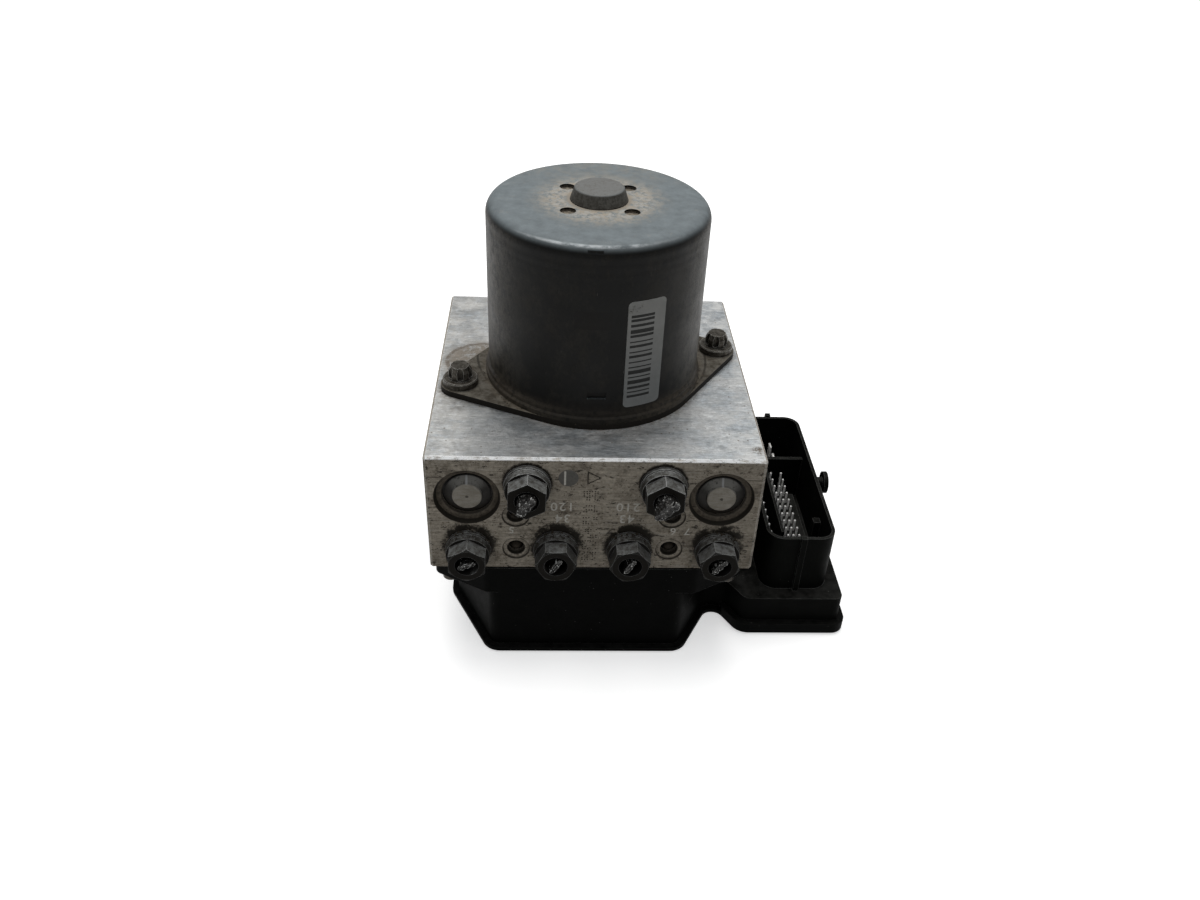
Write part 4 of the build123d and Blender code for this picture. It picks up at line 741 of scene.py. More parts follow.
def label_finish():
    """Grey film with dark bars, made lighter towards the top as painted light."""
    f = Finish("printed_film", specular=0.12)
    height = f.math("SUBTRACT", f.axis("Z"), BLOCK_TOP)
    # Painted light: the film is lighter higher up, where more light falls.
    paper = f.mix(f.ramp(height, 8, 40), (0.185, 0.19, 0.188), (0.29, 0.288, 0.275))
    paper = f.shade(paper, f.noise(4, 7, 0.72), 0.1)
    angle = f.math("ARCTAN2", f.math("SUBTRACT", f.axis("Y"), MOTOR_Y), f.axis("X"))
    across = f.both(f.math("SUBTRACT", angle, LABEL_MID), CAN_R)
    rows = f.math("DIVIDE", height, BAR_MODULE)
    pick = f.tree.nodes.new("ShaderNodeTexWhiteNoise")
    pick.noise_dimensions = "1D"
    link(f.tree, f.math("FLOOR", rows), pick.inputs["W"])
    turn = f.math("MODULO", f.math("FLOOR", rows), 4.0)
    first = f.math("LESS_THAN", turn, 0.5)
    odd = f.math("GREATER_THAN", f.math("MODULO", turn, 2.0), 0.5)
    bars = f.most(first, f.both(odd, f.math("GREATER_THAN", pick.outputs["Value"], 0.5)))
    strip = f.both(f.ramp(across, -5.05, -4.95), f.ramp(across, 2.35, 2.25))
    run = f.both(f.ramp(height, 9.9, 10.0), f.ramp(height, 37.5, 37.4))
    colour = f.mix(f.both(bars, strip, run, 0.93), paper, (0.011, 0.011, 0.0105))
    smudges = f.ramp(f.noise(1.0, 6, 0.8, shift=33), 0.52, 0.6)
    rubbed = f.both(f.spot((0, 0, BLOCK_TOP + 39.4), 0.8, 1.6, plane=(0, 0, 1)), smudges)
    colour = f.mix(f.both(rubbed, f.ramp(across, -1.0, -3.0), 0.7), colour, (0.04, 0.038, 0.033))
    f.relief(f.noise(1.0, 3), 0.02)
    return f.done(colour, 0.55)


label_film = label_finish()

# %% [markdown]
# ## Fasteners, caps and nuts
# These are plated steel. On the nuts the upper flats are dark grey and the lower ones are painted near black
# as shade; their front edges are rubbed bright, partly as a painted highlight, and oil and dust have turned
# the front faces brown-black. The bolts went dull brown. The bolts and the pressed balls share one function,
# which knows the two plating tones, the bright edge, and the dirt and painted shade in the hollows. The nuts
# and the pipe ends each have their own.

# %% Bolt and ball finishes
OIL_AND_SHADE_BLACK = (0.006, 0.005, 0.004)


def worn_steel(name, light, dark, edge, dirt, grain, metallic, roughness, reach):
    """Plated steel: two tones, bright corners, dirt and painted shade in the hollows."""
    f = Finish(name, specular=0.06)
    base = f.mix(f.ramp(f.noise(grain, 7, 0.74), 0.38, 0.62), light, dark)
    base = f.shade(base, f.noise(0.5, 5, 0.8, shift=7), 0.15)
    # Dirt and painted shade: surfaces near other surfaces are darkened to the given dirt colour.
    hollow_dirt_and_shade = f.crevices(reach)
    base = f.mix(hollow_dirt_and_shade, base, dirt)
    worn = f.both(f.edges(0.26, 0.02, 0.1), f.ramp(f.noise(0.8, 6, 0.75, shift=5), 0.34, 0.46))
    worn = f.both(worn, f.rest(f.both(hollow_dirt_and_shade, 0.7)))
    base = f.mix(f.both(worn, 0.85), base, edge)
    metal = f.both(f.rest(hollow_dirt_and_shade), metallic)
    rough = f.math("MULTIPLY_ADD", hollow_dirt_and_shade, 0.35, roughness)
    f.relief(f.noise(0.45, 7, 0.78), 0.06, rounding=0.1)
    return f.done(base, rough, metal)


bolt_steel = worn_steel(
    "brown_bolt_steel", light=(0.1, 0.092, 0.078), dark=(0.034, 0.029, 0.023), edge=(0.5, 0.49, 0.46),
    dirt=OIL_AND_SHADE_BLACK, grain=1.4, metallic=0.35, roughness=0.34, reach=2.0
)
# The balls sit deep in their bores; their dark tones are grime and painted shade.
ball_steel = worn_steel(
    "stained_and_shaded_ball", light=(0.03, 0.024, 0.017), dark=(0.012, 0.0095, 0.007), edge=(0.1, 0.09, 0.075),
    dirt=OIL_AND_SHADE_BLACK, grain=1.0, metallic=0.2, roughness=0.5, reach=3.0
)

# %% Nut finish
ROW_MIDDLE = (INLET_Z + OUTLET_Z) / 2
FACET_PALE = (0.19, 0.195, 0.192)
FACET_DARK = (0.06, 0.057, 0.05)


def nut_finish():
    """Dark nuts: grey upper facets and painted shade on the lower ones, bright corners that are partly a
    painted highlight, grimy sides, dirt and painted shade in the hollows, a black front, and painted shade in
    the mouth.
    """
    f = Finish("dark_nut_steel", specular=0.06)
    low_row = f.ramp(f.axis("Z"), ROW_MIDDLE + 1.5, ROW_MIDDLE - 2.5)
    out_low = f.math("MINIMUM", f.ring_at(OUTLET_X[2], OUTLET_Z), f.ring_at(OUTLET_X[3], OUTLET_Z))
    out = f.math("MINIMUM", f.ring_at(INLET_X[1], INLET_Z), out_low)
    facet = f.mix(f.ramp(f.noise(1.6, 7, 0.76), 0.36, 0.64), FACET_PALE, FACET_DARK)
    facet = f.shade(facet, f.noise(0.5, 5, 0.8, shift=7), 0.12)
    # Painted shade: flats that face down are near black, flats that face up get the grey facet colour.
    base = f.mix(f.facing((0, 0, 1), 0.25, 0.86), (0.024, 0.023, 0.021), facet)
    collar = f.ramp(f.axis("Y"), COLLAR_END - 0.15, COLLAR_END)
    grime = f.mix(low_row, (0.045, 0.043, 0.038), (0.02, 0.017, 0.013))
    crust = f.ramp(f.noise(0.9, 8, 0.8, shift=3), 0.4, 0.6)
    base = f.mix(f.both(collar, f.mix(low_row, (0.35, 0.35, 0.35), (0.8, 0.8, 0.8)), crust), base, grime)
    # Dirt and painted shade in the crevices.
    hollow_dirt_and_shade = f.crevices(2.2)
    base = f.mix(f.both(hollow_dirt_and_shade, 0.9), base, (0.011, 0.0095, 0.0075))
    front = f.both(f.facing((0, -1, 0), 0.75, 0.95), f.rest(collar))
    base = f.mix(f.both(front, 0.96), base, (0.0085, 0.0075, 0.006))
    rubbed = f.ramp(f.noise(0.8, 6, 0.75, shift=5), 0.34, 0.46)
    # Bright edges are rubbed wear, and a painted highlight where they face up.
    upward = f.ramp(f.axis("Z", f.normal), -0.3, 0.5, 0.25, 1.0)
    cleaner = f.mix(low_row, (1, 1, 1), (0.55, 0.55, 0.55))
    worn = f.both(f.edges(0.26, 0.02, 0.1), rubbed, upward)
    worn = f.both(worn, cleaner, f.rest(f.both(hollow_dirt_and_shade, 0.5)))
    base = f.mix(f.both(worn, 0.9), base, (0.72, 0.73, 0.72))
    # Painted shade: the mouth round the pipe is painted near black.
    mouth = f.both(f.ramp(out, 3.75, 3.6), f.ramp(f.axis("Y"), NUT_END - 0.1, NUT_END + 0.1))
    base = f.mix(f.both(mouth, 0.95), base, (0.0045, 0.004, 0.0035))
    soiled_and_shaded = f.most(hollow_dirt_and_shade, front, mouth)
    f.relief(f.noise(0.45, 7, 0.78), 0.06, rounding=0.1)
    rough = f.math("MULTIPLY_ADD", soiled_and_shaded, 0.3, 0.4)
    return f.done(base, rough, f.both(f.rest(soiled_and_shaded), 0.25))


nut_steel = nut_finish()

# %% Pipe finish
def pipe_finish():
    """Crushed dark coating, with bright flakes and a painted highlight on faces turned up, rubbed edges that
    double as painted highlights, and dirt and painted shade black in the hollows.
    """
    f = Finish("crushed_pipe_coating", specular=0.3)
    base = f.mix(f.ramp(f.noise(0.8, 7, 0.76), 0.4, 0.6), (0.028, 0.027, 0.025), (0.006, 0.0056, 0.005))
    # Bright flakes only on faces turned up and forward: flaking, and a painted highlight.
    flaked = f.ramp(f.noise(0.9, 5, 0.7, stretch=(1, 2.5, 1), shift=5), 0.575, 0.605)
    flakes_and_highlight = f.both(flaked, f.facing((0, -0.4, 0.9), 0.1, 0.7))
    base = f.mix(f.both(flakes_and_highlight, 0.8), base, (0.56, 0.56, 0.54))
    rubbed = f.ramp(f.noise(0.6, 6, 0.75, shift=9), 0.47, 0.54)
    # Rubbed edges, also a painted highlight along the folds.
    base = f.mix(f.both(f.edges(0.3, 0.03, 0.14), rubbed, 0.6), base, (0.85, 0.85, 0.83))
    # Dirt and painted shade in the crevices of the folds.
    hollow_dirt_and_shade = f.crevices(0.9, 0.7, 0.3)
    base = f.mix(f.both(hollow_dirt_and_shade, 0.9), base, (0.005, 0.0045, 0.004))
    f.relief(f.noise(0.9, 4, 0.6), 0.22)
    return f.done(base, 0.2, f.both(f.rest(hollow_dirt_and_shade), 0.5))


pipe_steel = pipe_finish()

# %% [markdown]
# The two large caps are shaped like hats. The crown of the hat is as clean as the front face and has a small
# punched dot. The sloping brim carries oil stains, with painted light above, a narrow painted glint at the
# top, and painted shade below and at its deep outer edge.

# %% Cap finish
CROWN_PALE = (0.315, 0.29, 0.25)
CROWN_DARK = (0.225, 0.205, 0.17)


def cap_finish():
    f = Finish("hat_cap_steel", specular=0.15)
    out = f.ring_at(CAP_X[1], CAP_Z)
    crown = f.mix(f.ramp(f.noise(1.4, 7, 0.76, stretch=(3, 1, 1)), 0.4, 0.62), CROWN_PALE, CROWN_DARK)
    crown = f.shade(crown, f.noise(0.4, 5, 0.8, shift=4), 0.18)
    dot = f.ramp(f.math("ADD", out, f.both(f.noise(0.5, 4, shift=8), 0.5)), 0.85, 0.6)
    crown = f.mix(f.both(dot, 0.9), crown, (0.03, 0.025, 0.018))
    # Painted light and shade: the brim is grey where it faces up and black where it faces down.
    brim = f.mix(f.facing((0, 0, 1), 0.12, 0.4), (0.0095, 0.008, 0.006), (0.2, 0.195, 0.18))
    # Painted glint: a narrow bright stroke at the top of the brim.
    glint = f.band(f.math("ABSOLUTE", f.axis("X")), CAP_X[1], 0.45, 0.15)
    brim = f.mix(f.both(glint, f.facing((0, 0, 1), 0.3, 0.4), 0.6), brim, (0.5, 0.51, 0.52))
    brim = f.mix(f.ramp(f.noise(1.3, 8, 0.78, shift=11), 0.52, 0.66), brim, (0.02, 0.0165, 0.012))
    # Painted shade at the brim's deep outer edge.
    brim = f.mix(f.ramp(out, 6.45, 6.85), brim, (0.006, 0.005, 0.004))
    base = f.mix(f.ramp(out, 4.5, 4.25), brim, crown)
    f.relief(f.noise(0.5, 7, 0.76), 0.06, rounding=0.12)
    return f.done(base, 0.46)


cap_steel = cap_finish()

# %% [markdown]
# ## The control unit
# The housing is black moulded plastic with a fine spark-eroded grain. A thin veil of dust greys the faces
# that look up, and a few pale threads of lint cling to it. The rims are rubbed pale, which also serves as a
# painted highlight, and the connector side, out from under the block, is made lighter as painted light.

# %% Plastic finishes
CONNECTOR_SIDE_X = 47.5
CONNECTOR_GAIN = 2.1


def black_plastic(name, ground, dust, rim):
    """Moulded black plastic; painted light makes it about twice as light on the connector side, out from
    under the block.
    """
    f = Finish(name, specular=0.02)
    # Painted light: the connector side, out from under the block, gets a ground about twice as light.
    paler = tuple(CONNECTOR_GAIN * tone for tone in ground)
    base = f.mix(f.ramp(f.axis("X"), CONNECTOR_SIDE_X, CONNECTOR_SIDE_X + 1.5), ground, paler)
    base = f.shade(base, f.noise(6, 5), 0.3)
    veil = f.both(f.facing((0, 0, 1), 0.5, 0.95), f.ramp(f.noise(5, 8, 0.78, shift=4), 0.3, 0.65))
    base = f.mix(veil, base, dust)
    lint = f.both(f.specks(2.2, 0.09), f.ramp(f.noise(8, 3, shift=8), 0.5, 0.6))
    base = f.mix(f.both(lint, 0.6), base, (0.13, 0.13, 0.125))
    patchy = f.ramp(f.noise(2.5, 6, 0.75, shift=12), 0.3, 0.55, 0.35, 1.0)
    # Painted highlight on the rims, partly rubbing.
    rubbed = f.both(f.edges(0.3, 0.03, 0.14), patchy)
    base = f.mix(f.both(rubbed, f.facing((0, 0, 1), -0.4, 0.2), 0.85), base, rim)
    f.relief(f.noise(0.35, 4, 0.7), 0.05, rounding=0.25)
    return f.done(base, f.math("MULTIPLY_ADD", f.noise(4, 5, shift=3), 0.25, 0.42))


housing_plastic = black_plastic(
    "black_housing", ground=(0.0014, 0.0015, 0.0013), dust=(0.021, 0.021, 0.0195), rim=(0.15, 0.151, 0.146)
)
cover_plastic = black_plastic(
    "black_cover", ground=(0.0009, 0.001, 0.0009), dust=(0.009, 0.009, 0.0085), rim=(0.02, 0.02, 0.019)
)

# %% [markdown]
# ## Pieces that seldom see daylight
# The rotor, the pump, the valves and the circuit board are inside. They still get a true
# finish each, because the unit may be shown with its covers off.

# %% Inner finishes
def plain_finish(name, colour, roughness, metallic=0.0, grain=1.5, vary=0.2, depth=0.04, stretch=(1, 1, 1)):
    """An even finish with a little cloud, grain and relief."""
    f = Finish(name, specular=0.4)
    base = f.shade(colour, f.noise(grain, 5, 0.6, stretch=stretch), vary)
    f.relief(f.noise(grain * 0.3, 5, 0.7, stretch=stretch), depth)
    rough = f.math("MULTIPLY_ADD", f.noise(grain * 2, 4), 0.2, roughness - 0.1)
    return f.done(base, rough, metallic)


finishes = {
    "block_metal": block_metal,
    "flange_steel": flange_steel,
    "can_steel": can_steel,
    "label_film": label_film,
    "bolt_steel": bolt_steel,
    "cap_steel": cap_steel,
    "ball_steel": ball_steel,
    "nut_steel": nut_steel,
    "pipe_steel": pipe_steel,
    "housing_plastic": housing_plastic,
    "cover_plastic": cover_plastic,
    "pin_metal": plain_finish("tinned_pins", (0.92, 0.91, 0.89), 0.35, 0.3, 0.6, 0.12, 0.01),
    "seal_rubber": plain_finish("black_rubber", (0.02, 0.02, 0.02), 0.75),
    "magnet_ferrite": plain_finish("sintered_magnet", (0.05, 0.05, 0.052), 0.7, grain=0.6, vary=0.35),
    "card_plastic": plain_finish("brush_card_plastic", (0.09, 0.065, 0.04), 0.55),
    "brush_carbon": plain_finish("pressed_carbon", (0.03, 0.03, 0.031), 0.6, grain=0.5, vary=0.3),
    "spring_steel": plain_finish("spring_wire", (0.42, 0.42, 0.42), 0.3, 0.9),
    "copper": plain_finish("lacquered_copper", (0.62, 0.26, 0.12), 0.35, 0.9, 0.8, 0.25, 0.05, (6, 6, 1)),
    "core_steel": plain_finish("laminated_core", (0.24, 0.235, 0.23), 0.5, 0.7, 0.5, 0.3, 0.06, (20, 20, 1)),
    "board_green": plain_finish("solder_mask", (0.02, 0.12, 0.045), 0.35, grain=8),
    "chip_plastic": plain_finish("moulded_chip", (0.018, 0.018, 0.019), 0.6, grain=0.5),
    "piston_metal": plain_finish(
        "turned_piston", (0.5, 0.5, 0.485), 0.35, 0.85, 0.4, 0.15, 0.03, (1, 12, 12)
    ),
}

for name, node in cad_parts.items():
    node.data.materials[0] = finishes[node.data.materials[0].name]
print("finishes", len(finishes), "on", len(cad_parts), "nodes")

# %% [markdown]
# ## The cropped pipe ends
# Somebody cut the brake pipes with pliers, which left the six ends flattened, folded and
# bent. Such a shape is made as the pliers made it: a round pipe is lengthened in short steps,
# and each step is squeezed a little flatter and shifted sideways. Then grooves are pressed in,
# three from one side and two from the other. At
# the tip the mouth is sunk, so that a thin lip stays. A noise pattern crumples the whole, and
# a smooth subdivision rounds it off.

# %% Choosing points and placing a piece
def choose(piece, test):
    """In edit mode, selects only the points whose place in millimetres passes a test."""
    bpy.ops.mesh.select_all(action="DESELECT")
    shape = bmesh.from_edit_mesh(piece.data)
    for point in shape.verts:
        if test(point.co / MM):
            point.select = True
    shape.select_flush(True)
    bmesh.update_edit_mesh(piece.data)


def clear_choice():
    """Leaves edit mode and deselects every object."""
    if bpy.context.mode != "OBJECT":
        bpy.ops.object.mode_set(mode="OBJECT")
    bpy.ops.object.select_all(action="DESELECT")


def settle(piece, name, material, body="unit"):
    """Names a finished piece, gives it its finish and lets it ride on a body."""
    clear_choice()
    piece.select_set(True)
    bpy.context.view_layer.objects.active = piece
    bpy.ops.object.transform_apply(location=True, rotation=True, scale=True)
    piece.name = name
    piece.data.name = name
    piece.data.materials.clear()
    piece.data.materials.append(material)
    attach(piece, body)
    return piece


# %% One crushed pipe
PIPE_SIDES = 28
SQUEEZE_STEPS = 8
FOLD_SHARE = 0.5
FOLD_HALF_W = 0.13
GROOVES = ((-0.5, 1, 1.0), (0.05, 1, 0.8), (0.56, 1, 1.0), (-0.25, -1, 1.0), (0.35, -1, 0.8))


def squeeze_along(x, z, neck, tip, radius, flat, shift):
    """Lengthens the pipe from its neck to its tip, flatter at every step."""
    stride = (neck - tip) / SQUEEZE_STEPS
    wide, thin = radius, radius
    for step in range(1, SQUEEZE_STEPS + 1):
        part = step / SQUEEZE_STEPS
        move = (shift[0] / SQUEEZE_STEPS * MM, -stride * MM, shift[1] / SQUEEZE_STEPS * MM)
        bpy.ops.mesh.extrude_region_move(TRANSFORM_OT_translate={"value": move})
        centre = Vector((x + shift[0] * part, neck - stride * step, z + shift[1] * part)) * MM
        next_wide = radius + (flat[0] - radius) * min(1.0, part * 1.3)
        next_thin = radius + (flat[1] - radius) * part ** 1.3
        bpy.ops.transform.resize(value=(next_wide / wide, 1, next_thin / thin), center_override=centre)
        wide, thin = next_wide, next_thin


def fold_in(piece, neck, tip, radius, flat, centre_at):
    """Presses three long grooves into one side of the flattened part and two into the other."""
    for place, side, depth in GROOVES:
        for step in range(2, SQUEEZE_STEPS + 1):
            part = step / SQUEEZE_STEPS
            level = neck + (tip - neck) * part
            middle_x, middle_z = centre_at(part)
            wide = radius + (flat[0] - radius) * part

            def in_groove(point):
                across = (point.x - middle_x) / wide
                on_side = (point.z - middle_z) * side > 0
                return abs(point.y - level) < 0.05 and abs(across - place) < FOLD_HALF_W and on_side

            choose(piece, in_groove)
            bpy.ops.transform.translate(value=(0, 0, -side * depth * FOLD_SHARE * flat[1] * part * MM))


def sink_mouth(piece, tip, lip, depth):
    """Sinks the end face behind a thin lip."""
    choose(piece, lambda point: abs(point.y - tip) < 0.05)
    bpy.ops.mesh.inset(thickness=lip * MM, depth=0)
    bpy.ops.transform.translate(value=(0, depth * MM, 0))


def crushed_pipe(node, x, z, radius, neck, tip, flat, turn, shift, crumple, seed):
    """Pipe end that leaves its nut round and ends squashed, folded and turned."""
    low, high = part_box(node)
    root = high.y / MM
    clear_choice()
    bpy.ops.mesh.primitive_cylinder_add(
        vertices=PIPE_SIDES, radius=radius * MM, depth=(root - neck) * MM,
        location=(x * MM, (root + neck) / 2 * MM, z * MM), rotation=(math.radians(90), 0, 0)
    )
    pipe = bpy.context.object
    bpy.ops.object.transform_apply(location=True, rotation=True, scale=True)
    bpy.ops.object.mode_set(mode="EDIT")
    bpy.ops.mesh.select_mode(type="VERT")
    choose(pipe, lambda point: point.y < neck + 0.05)
    squeeze_along(x, z, neck, tip, radius, flat, shift)
    fold_in(pipe, neck, tip, radius, flat, lambda part: (x + shift[0] * part, z + shift[1] * part))
    sink_mouth(pipe, tip, 0.45, 0.7)
    choose(pipe, lambda point: point.y < neck + 0.05)
    pivot = Vector((x, neck, z)) * MM
    bpy.ops.transform.rotate(value=math.radians(turn), orient_axis="Y", center_override=pivot)
    bpy.ops.object.mode_set(mode="OBJECT")
    smooth = pipe.modifiers.new("smooth", "SUBSURF")
    smooth.levels = 2
    smooth.render_levels = 2
    pattern = bpy.data.textures.new("crumple_" + str(seed), "CLOUDS")
    pattern.noise_scale = 1.1 * MM
    pattern.noise_depth = 2
    crease = pipe.modifiers.new("crease", "DISPLACE")
    crease.texture = pattern
    crease.texture_coords = "LOCAL"
    crease.strength = crumple * MM
    crease.mid_level = 0.5
    for modifier in ("smooth", "crease"):
        bpy.ops.object.modifier_apply(modifier=modifier)
    bpy.ops.object.shade_smooth()
    settle(pipe, "crushed_" + node, pipe_steel)
    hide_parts(node)
    reach = [point.co.y / MM for point in pipe.data.vertices]
    print(node, "from", round(max(reach), 1), "to", round(min(reach), 1), "mm")
    return pipe


# %% The six pipe ends
INLET_PIPE_R = 3.0
OUTLET_PIPE_R = 2.38
INLET_TIPS = (
    ("left", 3.6, (3.9, 1.7), 52, (0.3, 0.4), 0.5),
    ("right", 4.6, (4.3, 1.9), 40, (0.2, 0.2), 0.55),
)
OUTLET_TIPS = ((2.9, 1.1, 22), (3.1, 0.95, 57), (3.1, 1.0, 60), (3.3, 1.15, 52))
for number, (x, (side, reach, flat, turn, shift, crumple)) in enumerate(zip(INLET_X, INLET_TIPS), 1):
    crushed_pipe(
        "inlet_pipe_" + side, x, INLET_Z, INLET_PIPE_R, NUT_END + 0.6, NUT_END - reach,
        flat, turn, shift, crumple, number
    )
for number, (x, (half_wide, half_thin, turn)) in enumerate(zip(OUTLET_X, OUTLET_TIPS), 1):
    crushed_pipe(
        "outlet_pipe_" + str(number), x, OUTLET_Z, OUTLET_PIPE_R, NUT_END + 4.4, NUT_END - 0.3,
        (half_wide, half_thin), turn, (0.0, 0.0), 0.35, 2 + number
    )

# %% [markdown]
# ## The pump and accumulator springs
# In the solids a spring is only a plain tube. Here it is a real coil: a small circle of wire, screwed round
# the spring's own line.

# %% Coil springs
SCREW_STEPS = 24


def coil_spring(node, wire, turns, axis):
    """Coil in the place of a tube."""
    low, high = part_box(node)
    size = (high - low) / MM
    middle = (low + high) / 2
    length = size.dot(axis)
    outer = (size.x + size.y + size.z - length) / 4
    clear_choice()
    bpy.ops.mesh.primitive_circle_add(
        vertices=10, radius=wire / 2 * MM, location=((outer - wire / 2) * MM, -(length - wire) / 2 * MM, 0)
    )
    spring = bpy.context.object
    bpy.ops.object.transform_apply(location=True, rotation=True, scale=True)
    screw = spring.modifiers.new("screw", "SCREW")
    screw.axis = "Y"
    screw.steps = SCREW_STEPS
    screw.render_steps = SCREW_STEPS
    screw.iterations = turns
    screw.screw_offset = (length - wire) / turns * MM
    bpy.ops.object.modifier_apply(modifier="screw")
    bpy.ops.object.mode_set(mode="EDIT")
    bpy.ops.mesh.select_all(action="SELECT")
    bpy.ops.mesh.fill_holes(sides=0)
    bpy.ops.mesh.normals_make_consistent(inside=False)
    bpy.ops.object.mode_set(mode="OBJECT")
    bpy.ops.object.shade_smooth()
    if axis.x:
        spring.rotation_euler.z = math.radians(90)
    spring.location = middle
    settle(spring, "coil_" + node, finishes["spring_steel"])
    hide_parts(node)
    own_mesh(spring)
    print(spring.name, "length", round(length, 1), "mm")


PUMP_WIRE = 0.8
STORE_WIRE = 1.0
PUMP_TURNS = 5
STORE_TURNS = 7
ALONG_X = Vector((1, 0, 0))
ALONG_Y = Vector((0, 1, 0))
for side, outward in (("left", -1), ("right", 1)):
    pump, store = "pump_spring_" + side, "accumulator_spring_" + side
    coil_spring(pump, PUMP_WIRE, PUMP_TURNS, ALONG_X)
    coil_spring(store, STORE_WIRE, STORE_TURNS, ALONG_Y)

# %% [markdown]
# ## Marks on the ported face
# The face carries a round stamp, a dotted triangle, a column of punched dots and plain
# numbers beside the ports. All of them are thin shapes laid on the face, only a few
# hundredths of a millimetre proud, so they show in any light. The numbers stand upside down.
# Each number is a text object made into a mesh, and the dots are copies of one six-sided disc.

# %% Mark finishes
def mark_finish(name, colour, vary):
    """Matt and cloudy, with a faint relief."""
    f = Finish(name, specular=0.06)
    f.relief(f.noise(0.4, 6, 0.8), 0.02)
    return f.done(f.shade(colour, f.noise(0.7, 7, 0.8), vary), 0.6)


etched_light = mark_finish("etched_light", (0.6, 0.575, 0.52), 0.3)
stamp_grey = mark_finish("stamp_grey", (0.135, 0.13, 0.118), 0.2)
punched_dark = mark_finish("punched_dark", (0.014, 0.012, 0.009), 0.3)

# %% Plain numbers by the ports
MARK_T = 0.03
NUMBERS = (
    ("120", -9.6, 17.4, 3.3),
    ("34", -9.4, 21.9, 3.3),
    ("5", -24.8, 26.6, 2.6),
    ("210", 10.0, 17.4, 3.3),
    ("43", 9.8, 21.9, 3.3),
    ("6", 24.2, 26.6, 2.8),
    ("7", 28.6, 26.6, 2.8),
)


def number_mark(word, x, drop, height):
    """One number, turned upside down, lying on the front face."""
    clear_choice()
    bpy.ops.object.text_add(location=(0, 0, 0))
    mark = bpy.context.object
    mark.data.body = word
    mark.data.size = height * 1.32 * MM
    mark.data.space_character = 1.15
    mark.data.align_x = "CENTER"
    mark.data.align_y = "CENTER"
    mark.data.extrude = MARK_T / 2 * MM
    mark.data.offset = 0.03 * MM
    mark.data.resolution_u = 4
    bpy.ops.object.convert(target="MESH")
    mark = bpy.context.object
    mark.rotation_euler = (math.radians(90), math.radians(180), 0)
    mark.location = (x * MM, (FRONT - MARK_T / 2) * MM, (BLOCK_TOP - drop) * MM)
    return settle(mark, "number_" + word, etched_light)


for word, x, drop, height in NUMBERS:
    number_mark(word, x, drop, height)

# %% The round stamp with its bar
STAMP_X = -8.0
STAMP_DROP = 6.9
STAMP_R = 2.95
BAR_SHIFT = -1.0
BAR_W = 0.55
BAR_H = 5.0
BAR_T = 0.06


def flat_disc(name, radius, x, drop, sides, material, thick=MARK_T):
    """Thin bevelled disc on the front face."""
    clear_choice()
    bpy.ops.mesh.primitive_cylinder_add(
        vertices=sides, radius=radius * MM, depth=thick * MM,
        location=Vector((x, FRONT - thick / 2, BLOCK_TOP - drop)) * MM, rotation=(math.radians(90), 0, 0)
    )
    disc = bpy.context.object
    bpy.ops.object.transform_apply(location=True, rotation=True, scale=True)
    bpy.ops.object.mode_set(mode="EDIT")
    bpy.ops.mesh.select_mode(type="VERT")
    choose(disc, lambda point: point.y < FRONT - thick * 0.8)
    bpy.ops.transform.resize(value=(0.97, 1, 0.97), center_override=Vector((x, FRONT, BLOCK_TOP - drop)) * MM)
    bpy.ops.object.mode_set(mode="OBJECT")
    return settle(disc, name, material)


flat_disc("round_stamp", STAMP_R, STAMP_X, STAMP_DROP, 48, stamp_grey)
clear_choice()
bar_place = Vector((STAMP_X + BAR_SHIFT, FRONT - BAR_T / 2, BLOCK_TOP - STAMP_DROP)) * MM
bpy.ops.mesh.primitive_cube_add(size=MM, location=bar_place)
stamp_bar = bpy.context.object
stamp_bar.scale = (BAR_W, BAR_T, BAR_H)
bpy.ops.object.transform_apply(location=True, rotation=True, scale=True)
bpy.ops.object.mode_set(mode="EDIT")
bpy.ops.mesh.select_mode(type="VERT")
choose(stamp_bar, lambda point: point.y < FRONT - 0.04)
bpy.ops.mesh.bevel(offset=0.02 * MM, segments=1, affect="VERTICES")
bpy.ops.object.mode_set(mode="OBJECT")
settle(stamp_bar, "stamp_bar", etched_light)

# %% Punched dots: the triangle and the column
DOT_R = 0.25
DOT_T = 0.025
TRIANGLE = ((-2.3, 4.6), (-2.3, 8.9), (1.4, 6.7))
TRIANGLE_DOTS = 9
COLUMN_X = (-3.2, -2.4, -1.6, -0.8, 0.0, 0.8)
COLUMN_TOP = 11.8
COLUMN_END = 39.0
GROUP_PITCH = 4.7
EDGE_FILL = 0.78
INNER_FILL = 0.42
DOT_PITCH = 0.76


def dot_places():
    """Places of all dots as x and drop below the block's top."""
    places = []
    for (x0, drop0), (x1, drop1) in zip(TRIANGLE, TRIANGLE[1:] + TRIANGLE[:1]):
        for k in range(TRIANGLE_DOTS):
            part = k / TRIANGLE_DOTS
            places.append((x0 + (x1 - x0) * part, drop0 + (drop1 - drop0) * part))
    chance = random.Random(7)
    drop = COLUMN_TOP
    while drop < COLUMN_END:
        in_group = (drop - COLUMN_TOP) % GROUP_PITCH
        if in_group < GROUP_PITCH - 1.2:
            edge_row = in_group < DOT_PITCH or in_group > GROUP_PITCH - 2.0
            for x in COLUMN_X:
                keep = EDGE_FILL if edge_row else INNER_FILL
                if chance.random() < keep:
                    places.append((x + chance.uniform(-0.06, 0.06), drop + chance.uniform(-0.06, 0.06)))
        drop += DOT_PITCH
    return places


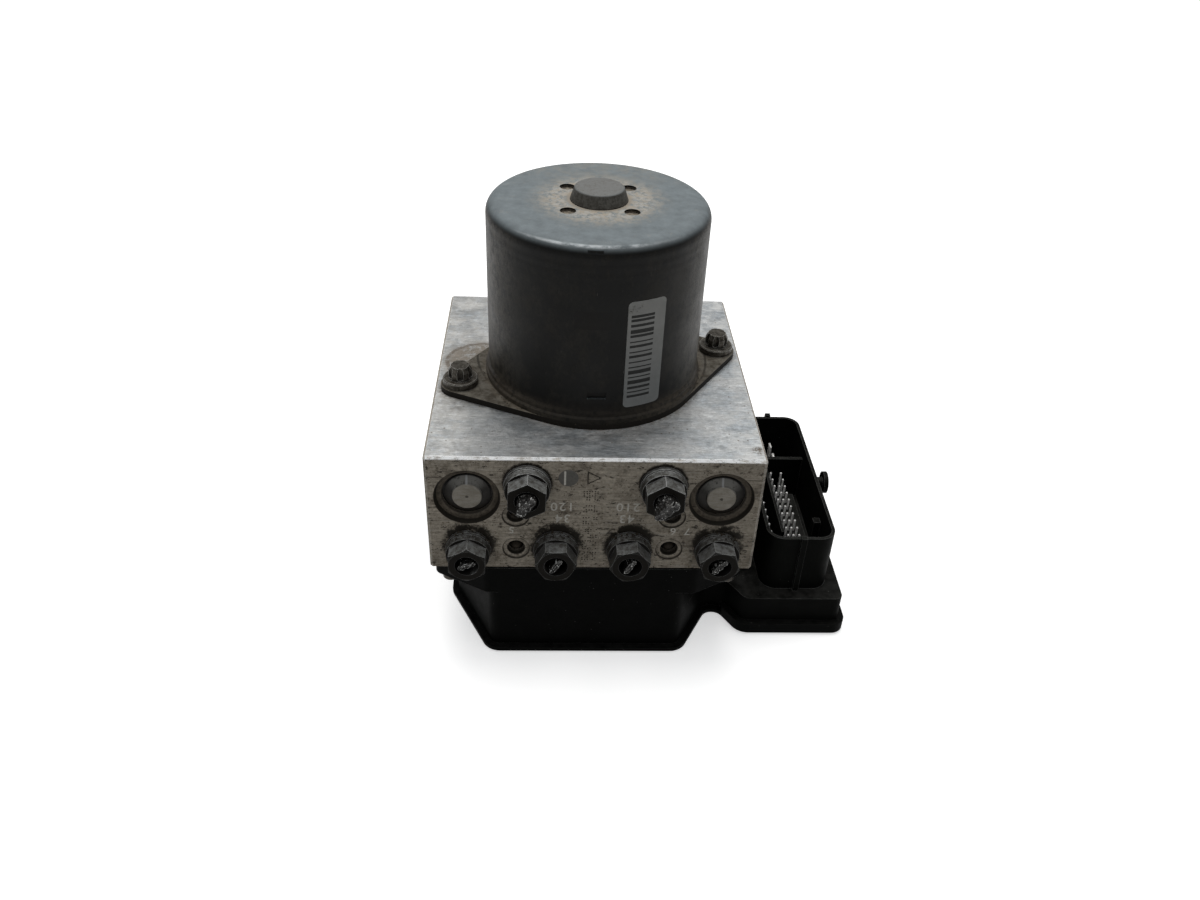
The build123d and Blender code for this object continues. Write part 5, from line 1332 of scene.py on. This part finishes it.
def dot_field():
    """All dots as one piece: one disc, copied and joined."""
    clear_choice()
    bpy.ops.mesh.primitive_cylinder_add(
        vertices=6, radius=DOT_R * MM, depth=DOT_T * MM, rotation=(math.radians(90), 0, 0)
    )
    first = bpy.context.object
    bpy.ops.object.transform_apply(location=True, rotation=True, scale=True)
    bpy.ops.object.mode_set(mode="EDIT")
    bpy.ops.mesh.select_mode(type="VERT")
    choose(first, lambda point: point.y < 0)
    bpy.ops.transform.resize(value=(0.8, 1, 0.8), center_override=(0, 0, 0))
    bpy.ops.object.mode_set(mode="OBJECT")
    dots = [first]
    places = dot_places()
    for x, drop in places:
        dot = first.copy()
        dot.data = first.data.copy()
        dot.location = Vector((x, FRONT - DOT_T / 2, BLOCK_TOP - drop)) * MM
        bpy.context.scene.collection.objects.link(dot)
        dots.append(dot)
    bpy.data.objects.remove(dots.pop(0))
    for dot in dots:
        dot.select_set(True)
    bpy.context.view_layer.objects.active = dots[0]
    bpy.ops.object.join()
    print("punched dots", len(places))
    return settle(dots[0], "punched_dots", punched_dark)


dot_field()

# %% [markdown]
# ## Crusts of dirt
# Oil and road dust have caked round the outlet nuts' collars, mostly above them, and here and
# there on the flange round the foot of the can. One small rough clod is modelled. Copies of
# it, each turned and sized by a seeded chance, are laid there and joined into one piece.

# %% Clods
COLLAR_R = 6.9
CLODS_PER_NUT = 30
CLODS_ROUND_CAN = 36


def clod_places():
    """Place and size of each clod."""
    chance = random.Random(11)
    places = []
    for x in OUTLET_X:
        for k in range(CLODS_PER_NUT):
            angle = math.radians(chance.gauss(90, 42))
            out = COLLAR_R + chance.uniform(0, 0.25)
            depth = chance.uniform(0.1, 2.6) ** 1.2
            size = chance.uniform(0.16, 0.46) * (1.0 if depth < 1.6 else 0.6)
            place = (x + out * math.cos(angle), FRONT - depth, OUTLET_Z + out * math.sin(angle))
            places.append((place, size))
    for k in range(CLODS_ROUND_CAN):
        angle = chance.uniform(0, 2 * math.pi)
        out = CAN_FOOT_R + abs(chance.gauss(0.2, 0.5))
        place = (out * math.cos(angle), MOTOR_Y + out * math.sin(angle), BLOCK_TOP + 2.0)
        places.append((place, chance.uniform(0.12, 0.3)))
    return places


def clod_field():
    """All clods as one piece."""
    clear_choice()
    bpy.ops.mesh.primitive_ico_sphere_add(subdivisions=1, radius=MM)
    first = bpy.context.object
    bpy.ops.object.mode_set(mode="EDIT")
    bpy.ops.mesh.select_all(action="SELECT")
    bpy.ops.transform.vertex_random(offset=0.22 * MM, seed=3)
    bpy.ops.object.mode_set(mode="OBJECT")
    chance = random.Random(5)
    clods = []
    for place, size in clod_places():
        clod = first.copy()
        clod.data = first.data.copy()
        clod.location = Vector(place) * MM
        clod.scale = (size * chance.uniform(0.8, 1.5), size, size * chance.uniform(0.6, 1.1))
        clod.rotation_euler = (chance.uniform(0, 6), chance.uniform(0, 6), chance.uniform(0, 6))
        bpy.context.scene.collection.objects.link(clod)
        clods.append(clod)
    bpy.data.objects.remove(first)
    clear_choice()
    for clod in clods:
        clod.select_set(True)
    bpy.context.view_layer.objects.active = clods[0]
    bpy.ops.object.join()
    print("clods", len(clods))
    return settle(clods[0], "dirt_clods", caked_dirt)


caked_dirt = mark_finish("caked_dirt", (0.032, 0.026, 0.019), 0.35)
clod_field()
